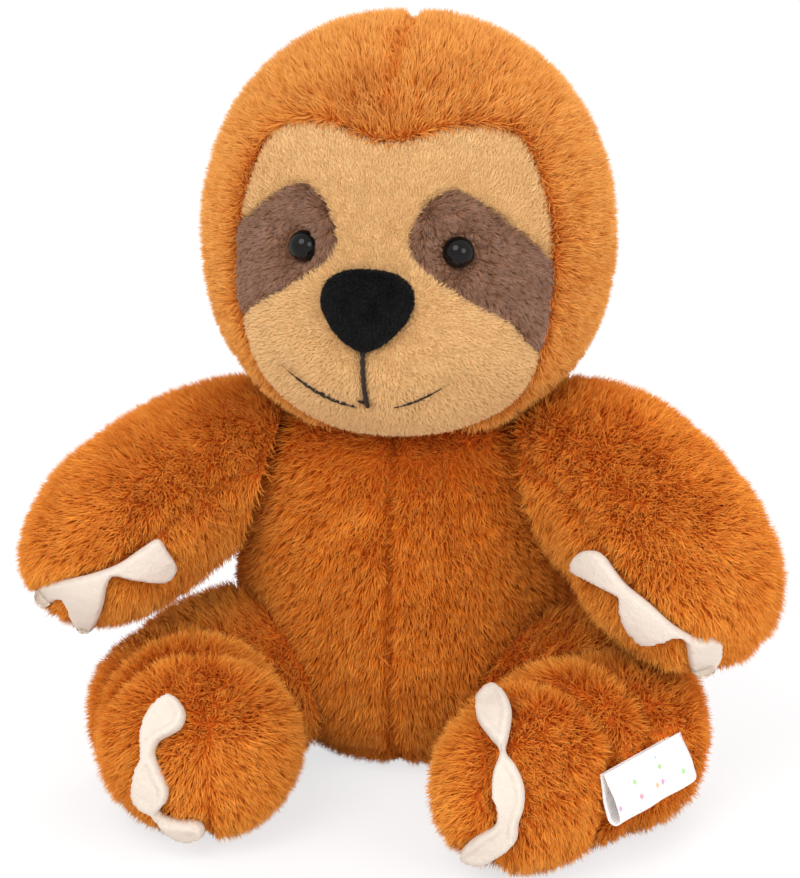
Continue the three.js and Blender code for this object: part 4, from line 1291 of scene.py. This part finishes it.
class SLOTH_OT_eyes(bpy.types.Operator):
    """Build the two glossy domed eyes"""

    bl_idname = "sloth.eyes"
    bl_label = "Eyes"

    def execute(self, context):
        for word, side in SIDES:
            low, high = (np.array(corner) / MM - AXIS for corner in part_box(f"eye_{word}"))
            out = facing(side, 76, 0)
            middle = (low + high) / 2
            centre = np.array([middle[0], low[1], middle[2]]) - out * 3.0
            dome = [(EYE_RADIUS * math.cos(a), 0.2 + EYE_DOME * math.sin(a))
                    for a in np.linspace(0.1, math.pi / 2 - 0.02, 14)]
            profile = np.array(EYE_RIM + dome)
            count = 48
            turn = np.arange(count) / count * 2 * np.pi
            across = unit(np.cross(UP, out))
            ring = np.cos(turn)[:, None] * across + np.sin(turn)[:, None] * np.cross(out, across)
            reach, forward = (profile[:, i][:, None, None] for i in (0, 1))
            points = (centre + reach * ring + forward * out).reshape(-1, 3)
            ends = [centre + out * profile[0, 1], centre + out * (0.2 + EYE_DOME)]
            following = [(i, (i + 1) % count) for i in range(count)]
            first, last, top = len(points), len(points) + 1, len(points) - count
            faces = [(row + i, row + near, row + count + near, row + count + i)
                     for row in range(0, top, count) for i, near in following]
            faces += [(first, near, i) for i, near in following]
            faces += [(last, top + i, top + near) for i, near in following]
            eye = mesh_object(f"eye_{word}", np.vstack([points, ends]), faces)
            facing_out(eye.data)
            dress(eye, "eye", "head", [f"eye_{word}"])
        return {"FINISHED"}


class SLOTH_OT_nose(bpy.types.Operator):
    """Build the padded velour nose"""

    bl_idname = "sloth.nose"
    bl_label = "Nose"

    def execute(self, context):
        form = head_form()
        surface = surface_of(form.points, form.faces)
        outline = closed_spline([(x * NOSE_SIZE[0], z * NOSE_SIZE[1]) for x, z in NOSE_SHARES], 90)
        outline += [FEATURE_SKEW - 0.3, HEAD_MIDDLE - NOSE_DROP]
        flat, faces = filled(outline, 0.45)
        inside = -signed_distance(flat, outline)
        points, normals = from_front(surface, flat)
        puff = 4.6 * np.sqrt(1 - (1 - np.clip(inside / 5.5, 0, 1)) ** 2)
        lumps = 0.25 * np.sin(flat[:, 0] * 1.1 + 1) * np.sin(flat[:, 1] * 0.9)
        lift = puff + lumps * np.clip(inside / 2, 0, 1) + 0.9
        front = points + (FRONT * 0.7 + normals * 0.3) * lift[:, None]
        nose = slab("nose", front, points + FRONT, faces)
        dress(nose, "nose", "head", ["nose"])
        cover = front_only(np.ones(len(flat)))
        even = np.ones(len(cover))
        lay_nap(nose, even[:, None] * UP * -0.6, 0.8, even, cover, even * 0.5)
        grow_pile("nose_pile", nose, "nose_pile", "head", NOSE_STRANDS,
                  0.0007, 0.0002, 0.0008, 13)
        return {"FINISHED"}


class SLOTH_OT_mouth(bpy.types.Operator):
    """Stitch the line under the nose and the smile"""

    bl_idname = "sloth.mouth"
    bl_label = "Mouth"

    def execute(self, context):
        form = head_form()
        surface = surface_of(form.points, form.faces)
        parts = []
        for flat, taper in mouth_lines():
            points, normals = from_front(surface, flat)
            made = mesh_object("mouth_line", points + unit(normals) * 0.75, [])
            made.data.edges.add(len(flat) - 1)
            ends = [(i, i + 1) for i in range(len(flat) - 1)]
            made.data.edges.foreach_set("vertices", np.array(ends).ravel())
            give(made.data, "taper", taper)
            parts.append(evaluated(made, trees()["stitches"], {
                "Stitch": 0.0021, "Thickness": context.scene.sloth_sizes.thread,
                "Material": materials()["thread"]}))
            bpy.data.objects.remove(made)
        shape = bmesh.new()
        for part in parts:
            shape.from_mesh(part)
        mesh = bpy.data.meshes.new("mouth_thread")
        shape.to_mesh(mesh)
        shape.free()
        made = new_object("mouth_thread", mesh)
        dress(made, "thread", "head", ["mouth_thread"])
        return {"FINISHED"}


class SLOTH_OT_body(bpy.types.Operator):
    """Build the body's stuffed skin and its long pile"""

    bl_idname = "sloth.body"
    bl_label = "Body"

    def execute(self, context):
        form = body_form()
        points = form.points
        x, y, z = points.T
        seam, welt = hump(x, 1.1), hump(z - 6, 1.3)
        points -= unit(points - [0, 0, 38]) * ((1.6 * seam + 1.0 * welt) * (z > 2))[:, None]
        nodes = ("body_front_left", "body_front_right", "body_back_left", "body_back_right",
                 "body_base_panel", "body_stuffing", "pellet_pouch")
        skin = mesh_object("body", points, form.faces)
        dress(skin, "backing", "torso", nodes)
        sideways = np.sign(x) * np.exp(-np.abs(x) / 6)
        fan = unit(points * [1, 1, 0]) * step_up(30 - z, 0, 26)[:, None] * 0.5
        nap = -UP * 0.85 + sideways[:, None] * LEFT * 0.5 + fan
        pile = 0.66 - 0.36 * seam - 0.1 * (z < 2)
        tucked = np.zeros(len(points))
        for _, side in SIDES:
            for limb, radius in (("arm", 9.5), ("leg", 10.5)):
                place, _ = seat(side, limb)
                tucked = np.maximum(tucked, np.linalg.norm(points - place, axis=1) < radius)
        cover = (1 - tucked) * (z > 0.05) * (z < NECK_Z - 0.4) * (1 - 0.5 * step_up(z, 58, 66))
        # Painted shade: the tone is darker in the belly's seam, in the low welt and over the toy's left
        # side (+X)
        shade = 0.22 - 0.36 * seam - 0.12 * welt - 0.12 * step_up(x, 2, 26)
        lay_nap(skin, nap, 0.65, pile, cover, shade)
        front = step_up(-y, -6, -4)
        for word, keep, seed in (("front", front, 21), ("back", 1 - front, 22)):
            grow_long_pile(f"body_fur_{word}", skin, "fur", "torso", seed, keep)
        return {"FINISHED"}


class SLOTH_OT_arms(bpy.types.Operator):
    """Build the arms' stuffed skins and their long pile"""

    bl_idname = "sloth.arms"
    bl_label = "Arms"

    def execute(self, context):
        for word, side in SIDES:
            form = arm_form(side)
            points, arm = form.points, f"arm_{word}"
            palm = np.cross(form.level, form.aim)
            offset = (points - form.centre) @ palm
            seam = hump(offset, 1.4)
            points -= unit(points - form.centre) * (0.9 * seam)[:, None]
            skin = mesh_object(arm, points, form.faces)
            nodes = (f"{arm}_outer", f"{arm}_palm", f"{arm}_stuffing")
            dress(skin, "backing", arm, nodes)
            parted = palm * (np.sign(offset) * seam)[:, None] * 0.4
            # Painted shade: the tone is darker along the seam, on the arm's underside and towards the
            # shoulder
            painted_underside_shade = step_up(-((points - form.centre) @ UP), 4, 15)
            shade = 0.54 - 0.1 * seam - 0.14 * painted_underside_shade - 0.16 * step_up(0.5 - form.place, 0, 0.5)
            pile, cover = limb_pile(skin, form, "arm", side, seam, HAND_CLAWS[side], HAND_START)
            lay_nap(skin, form.tangent * 0.75 - UP * 0.3 + parted, 0.75, pile, cover, shade)
            grow_long_pile(f"arm_fur_{word}", skin, "fur", arm, 31 + side)
        return {"FINISHED"}


class SLOTH_OT_legs(bpy.types.Operator):
    """Build the legs' stuffed skins and their long pile"""

    bl_idname = "sloth.legs"
    bl_label = "Legs"

    def execute(self, context):
        for word, side in SIDES:
            form = leg_form(side)
            points, leg = form.points, f"leg_{word}"
            z = points[:, 2]
            offset = (points - form.centre) @ LEFT
            front = step_up(form.place, 0.7, 0.95)
            seam = hump(offset, 1.4) * front
            knee = hump(form.place - 0.46, 0.022) + hump(form.place - 0.6, 0.024)
            crease = knee + ANKLE_FOLD[side] * hump(form.place - 0.74, 0.032)
            sunk = (1.0 * seam + 2.0 * crease) * (z > 2)
            points -= unit(points - form.centre) * sunk[:, None]
            skin = mesh_object(leg, points, form.faces)
            nodes = (f"{leg}_outer", f"{leg}_inner", f"{leg}_stuffing")
            dress(skin, "backing", leg, nodes)
            radial = LEFT * (np.sign(offset) * front)[:, None] * 0.2
            nap = form.tangent * (0.7 - 0.5 * front)[:, None] + radial - UP * 0.25
            # Painted shade: the tone is darker along the seam, in the knee and ankle creases and towards
            # the hip
            shade = 0.55 - 0.12 * seam - 0.3 * crease - 0.2 * step_up(0.4 - form.place, 0, 0.3)
            pile, cover = limb_pile(skin, form, "leg", side, seam, FOOT_CLAWS[side], FOOT_START)
            cover = cover * (z > 0.05) * (1 - 0.5 * step_up(2.5 - z, 0, 2))
            if side > 0:
                pile = pile * (1 - 0.7 * under_label(points))
            lay_nap(skin, nap, 0.65, pile, cover, shade)
            grow_long_pile(f"leg_fur_{word}", skin, "fur", leg, 41 + side)
        return {"FINISHED"}


class SLOTH_OT_claws(bpy.types.Operator):
    """Build the felt claws of the hands and the padded claws of the feet"""

    bl_idname = "sloth.claws"
    bl_label = "Claws"

    def claw(self, name, body, form, corners, height, thickness, padded):
        """A strip of three claws on a limb; the feet's have padded edges and a raised middle line"""
        outline = closed_spline(corners, 130)
        flat, faces = filled(outline, 2.6)
        inside = -signed_distance(flat, outline)
        base = form.points + unit(form.points - form.centre) * height
        points, normals = from_photo(surface_of(base, form.faces), flat, form.points[-1])
        back, _, _ = camera_axes()
        out = unit(unit(normals) + back * 0.6)
        edge = 4.5 if padded else 3.5
        puff = np.sqrt(np.maximum(1 - (1 - np.minimum(inside / edge, 1)) ** 2, 0))
        if padded:
            puff -= 0.25 * step_up(np.maximum(inside - edge, 0), 2.5, 4.5)
        front = points + out * (thickness * (0.25 + 0.75 * puff))[:, None]
        rear = points - out * 0.4
        front[:, 2] = np.maximum(front[:, 2], 0.3)
        rear[:, 2] = np.maximum(rear[:, 2], 0.2)
        made = slab(name, front, rear, faces)
        dress(made, "claw", body, [name])

    def execute(self, context):
        felt = context.scene.sloth_sizes.felt / MM
        for word, side in SIDES:
            self.claw(f"hand_claws_{word}", f"arm_{word}", arm_form(side), HAND_CLAWS[side],
                      2.6, felt, False)
        for word, side in SIDES:
            self.claw(f"foot_claws_{word}", f"leg_{word}", leg_form(side), FOOT_CLAWS[side],
                      2.4, 2.8, True)
        return {"FINISHED"}


class SLOTH_OT_label(bpy.types.Operator):
    """Build the folded satin label"""

    bl_idname = "sloth.label"
    bl_label = "Label"

    def execute(self, context):
        hinge = joint_place("label_flap")
        ahead = unit(joint_axis("label_flap"))
        out = unit(np.cross(UP, ahead))
        low = np.array(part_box("label_loop")[0]) / MM - AXIS
        drop = hinge[2] - low[2]
        lean, radius = math.radians(20), 1.4
        down = -(UP * math.cos(lean) - out * math.sin(lean))
        side = np.cross(ahead, down)
        side = side * np.sign(side @ out)

        # The satin seen from its edge: down the front, round the fold and up the back
        straight = np.linspace(0, drop - radius - 0.6, 14)
        turn = np.linspace(0, math.pi, 16)[1:-1]
        bulge = lambda along: radius * (0.35 + 0.65 * step_up(along, 0, 6))
        section = [(along, bulge(along)) for along in straight]
        section += [(straight[-1] + radius * math.sin(a), radius * math.cos(a)) for a in turn]
        section += [(along, -bulge(along)) for along in straight[::-1]]
        section = np.array(section)
        run = np.concatenate([[0], np.cumsum(np.linalg.norm(np.diff(section, axis=0), axis=1))])
        count = 25
        across = np.linspace(-LABEL_WIDTH / 2, LABEL_WIDTH / 2, count)
        fallen, stood = (section[:, i][:, None, None] for i in (0, 1))
        grid = hinge + across[None, :, None] * ahead + fallen * down + stood * side
        waves = 0.25 * np.sin(across * 0.5)[None, :, None] * side * step_up(fallen, 2, 9)
        points = (grid + waves).reshape(-1, 3)
        faces = [(a, a + 1, a + count + 1, a + count)
                 for row in range(len(section) - 1) for a in range(row * count, (row + 1) * count - 1)]
        label = mesh_object("label_loop", points, faces)
        layer = label.data.uv_layers.new(name="Satin")
        lengths, widths = np.meshgrid(run, across + LABEL_WIDTH / 2, indexing="ij")
        place = np.stack([widths, lengths], -1).reshape(-1, 2) * MM
        corners = np.zeros(len(label.data.loops), int)
        label.data.loops.foreach_get("vertex_index", corners)
        layer.data.foreach_set("uv", place[corners].astype(np.float32).ravel())
        thick = label.modifiers.new("Cloth", "SOLIDIFY")
        thick.thickness = 0.0003
        thick.offset = 0
        label.data.materials.append(materials()["label"])
        depsgraph = context.evaluated_depsgraph_get()
        mesh = bpy.data.meshes.new_from_object(label.evaluated_get(depsgraph))
        label.modifiers.clear()
        label.data = mesh
        facing_out(mesh)
        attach(label, "label")
        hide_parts("label_loop")
        return {"FINISHED"}


class SLOTH_OT_threads(bpy.types.Operator):
    """Finish the seam threads and the washers behind the eyes"""

    bl_idname = "sloth.threads"
    bl_label = "Threads"

    def execute(self, context):
        for name, node in frame["nodes"].items():
            if node.hide_render:
                continue
            finish = "washer" if "washer" in name else "thread"
            for slot in node.material_slots:
                slot.material = materials()[finish]
            if not node.material_slots:
                node.data.materials.append(materials()[finish])
        return {"FINISHED"}


class SLOTH_OT_stage(bpy.types.Operator):
    """Set the floor, the soft lights and the camera"""

    bl_idname = "sloth.stage"
    bl_label = "Stage"

    def seen(self, graph):
        """1 for the camera's rays and for what shines or shows through, 0 for light on the toy"""
        path = graph.node("ShaderNodeLightPath", {}, {}, "Is Camera Ray")
        return (path + path.part("Is Glossy Ray") + path.part("Is Transmission Ray")).clamped()

    def floor(self):
        mesh = bpy.data.meshes.new("floor")
        corners = [(-1, -1, 0), (1, -1, 0), (1, 1, 0), (-1, 1, 0)]
        mesh.from_pydata([Vector(corner) * FLOOR_REACH for corner in corners], [], [(0, 1, 2, 3)])
        floor = new_object("floor", mesh)
        made = bpy.data.materials.new("Floor")
        graph = cleared(made)
        grain = speckle(graph, object_place(graph), 0.02)
        pale = graph.blend(grain, tint(245, 245, 245), tint(250, 250, 250))
        matt = graph.node("ShaderNodeBsdfDiffuse", {}, {"Color": pale})
        glow = graph.node("ShaderNodeEmission", {}, {"Color": (1, 1, 1), "Strength": 1.0})
        mixed = graph.node("ShaderNodeMixShader", {}, (self.seen(graph) * 0.72, matt, glow))
        graph.node("ShaderNodeOutputMaterial", {}, {"Surface": mixed})
        mesh.materials.append(made)

    def world(self, context):
        world = bpy.data.worlds.new("Studio")
        context.scene.world = world
        graph = cleared(world)
        plain, white = (graph.node("ShaderNodeBackground", {}, {"Color": (1, 1, 1), "Strength": strength})
                        for strength in (0.82, 1.0))
        mixed = graph.node("ShaderNodeMixShader", {}, (self.seen(graph), plain, white))
        graph.node("ShaderNodeOutputWorld", {}, {"Surface": mixed})

    def lamp(self, name, place, size, power):
        data = bpy.data.lights.new(name, "AREA")
        data.shape = "DISK"
        data.size = size
        data.energy = power
        lamp = new_object(name, data)
        lamp.location = place
        lamp.rotation_mode = "QUATERNION"
        lamp.rotation_quaternion = (LAMP_AIM - lamp.location).to_track_quat("-Z", "Y")

    def camera(self, context):
        back, _, _ = camera_axes()
        data = bpy.data.cameras.new("camera")
        data.lens = CAMERA_LENS
        data.sensor_width = SENSOR
        data.clip_start = 0.01
        camera = new_object("camera", data)
        camera.location = Vector((CAMERA_AIM + AXIS + back * CAMERA_DISTANCE) * MM)
        camera.rotation_mode = "QUATERNION"
        camera.rotation_quaternion = Vector(-back).to_track_quat("-Z", "Y")
        context.scene.camera = camera

    def execute(self, context):
        self.floor()
        self.world(context)
        for lamp in LAMPS:
            self.lamp(*lamp)
        self.camera(context)
        context.scene.view_settings.view_transform = "Standard"
        return {"FINISHED"}


class SLOTH_PT_panel(bpy.types.Panel):
    """Lists the sloth's sizes, colours and pieces"""

    bl_idname = "SLOTH_PT_panel"
    bl_label = "Plush Sloth"
    bl_space_type = "VIEW_3D"
    bl_region_type = "UI"
    bl_category = "Sloth"

    def draw(self, context):
        for group in (context.scene.sloth_sizes, context.scene.sloth_colours):
            for name in group.__annotations__:
                self.layout.prop(group, name)
        for operator in OPERATORS:
            self.layout.operator(operator.bl_idname)


OPERATORS = (
    SLOTH_OT_stage, SLOTH_OT_body, SLOTH_OT_head, SLOTH_OT_face, SLOTH_OT_eyes, SLOTH_OT_nose,
    SLOTH_OT_mouth, SLOTH_OT_arms, SLOTH_OT_legs, SLOTH_OT_claws, SLOTH_OT_label, SLOTH_OT_threads,
)
CLASSES = (SlothSizes, SlothColours, *OPERATORS, SLOTH_PT_panel)


def register():
    for made in CLASSES:
        bpy.utils.register_class(made)
    bpy.types.Scene.sloth_sizes = PointerProperty(type=SlothSizes)
    bpy.types.Scene.sloth_colours = PointerProperty(type=SlothColours)


def unregister():
    del bpy.types.Scene.sloth_sizes
    del bpy.types.Scene.sloth_colours
    for made in reversed(CLASSES):
        bpy.utils.unregister_class(made)


def main():
    register()
    bpy.ops.sloth.stage()
    bpy.ops.sloth.body()
    bpy.ops.sloth.head()
    bpy.ops.sloth.face()
    bpy.ops.sloth.eyes()
    bpy.ops.sloth.nose()
    bpy.ops.sloth.mouth()
    bpy.ops.sloth.arms()
    bpy.ops.sloth.legs()
    bpy.ops.sloth.claws()
    bpy.ops.sloth.label()
    bpy.ops.sloth.threads()


if __name__ == "__main__":
    main()
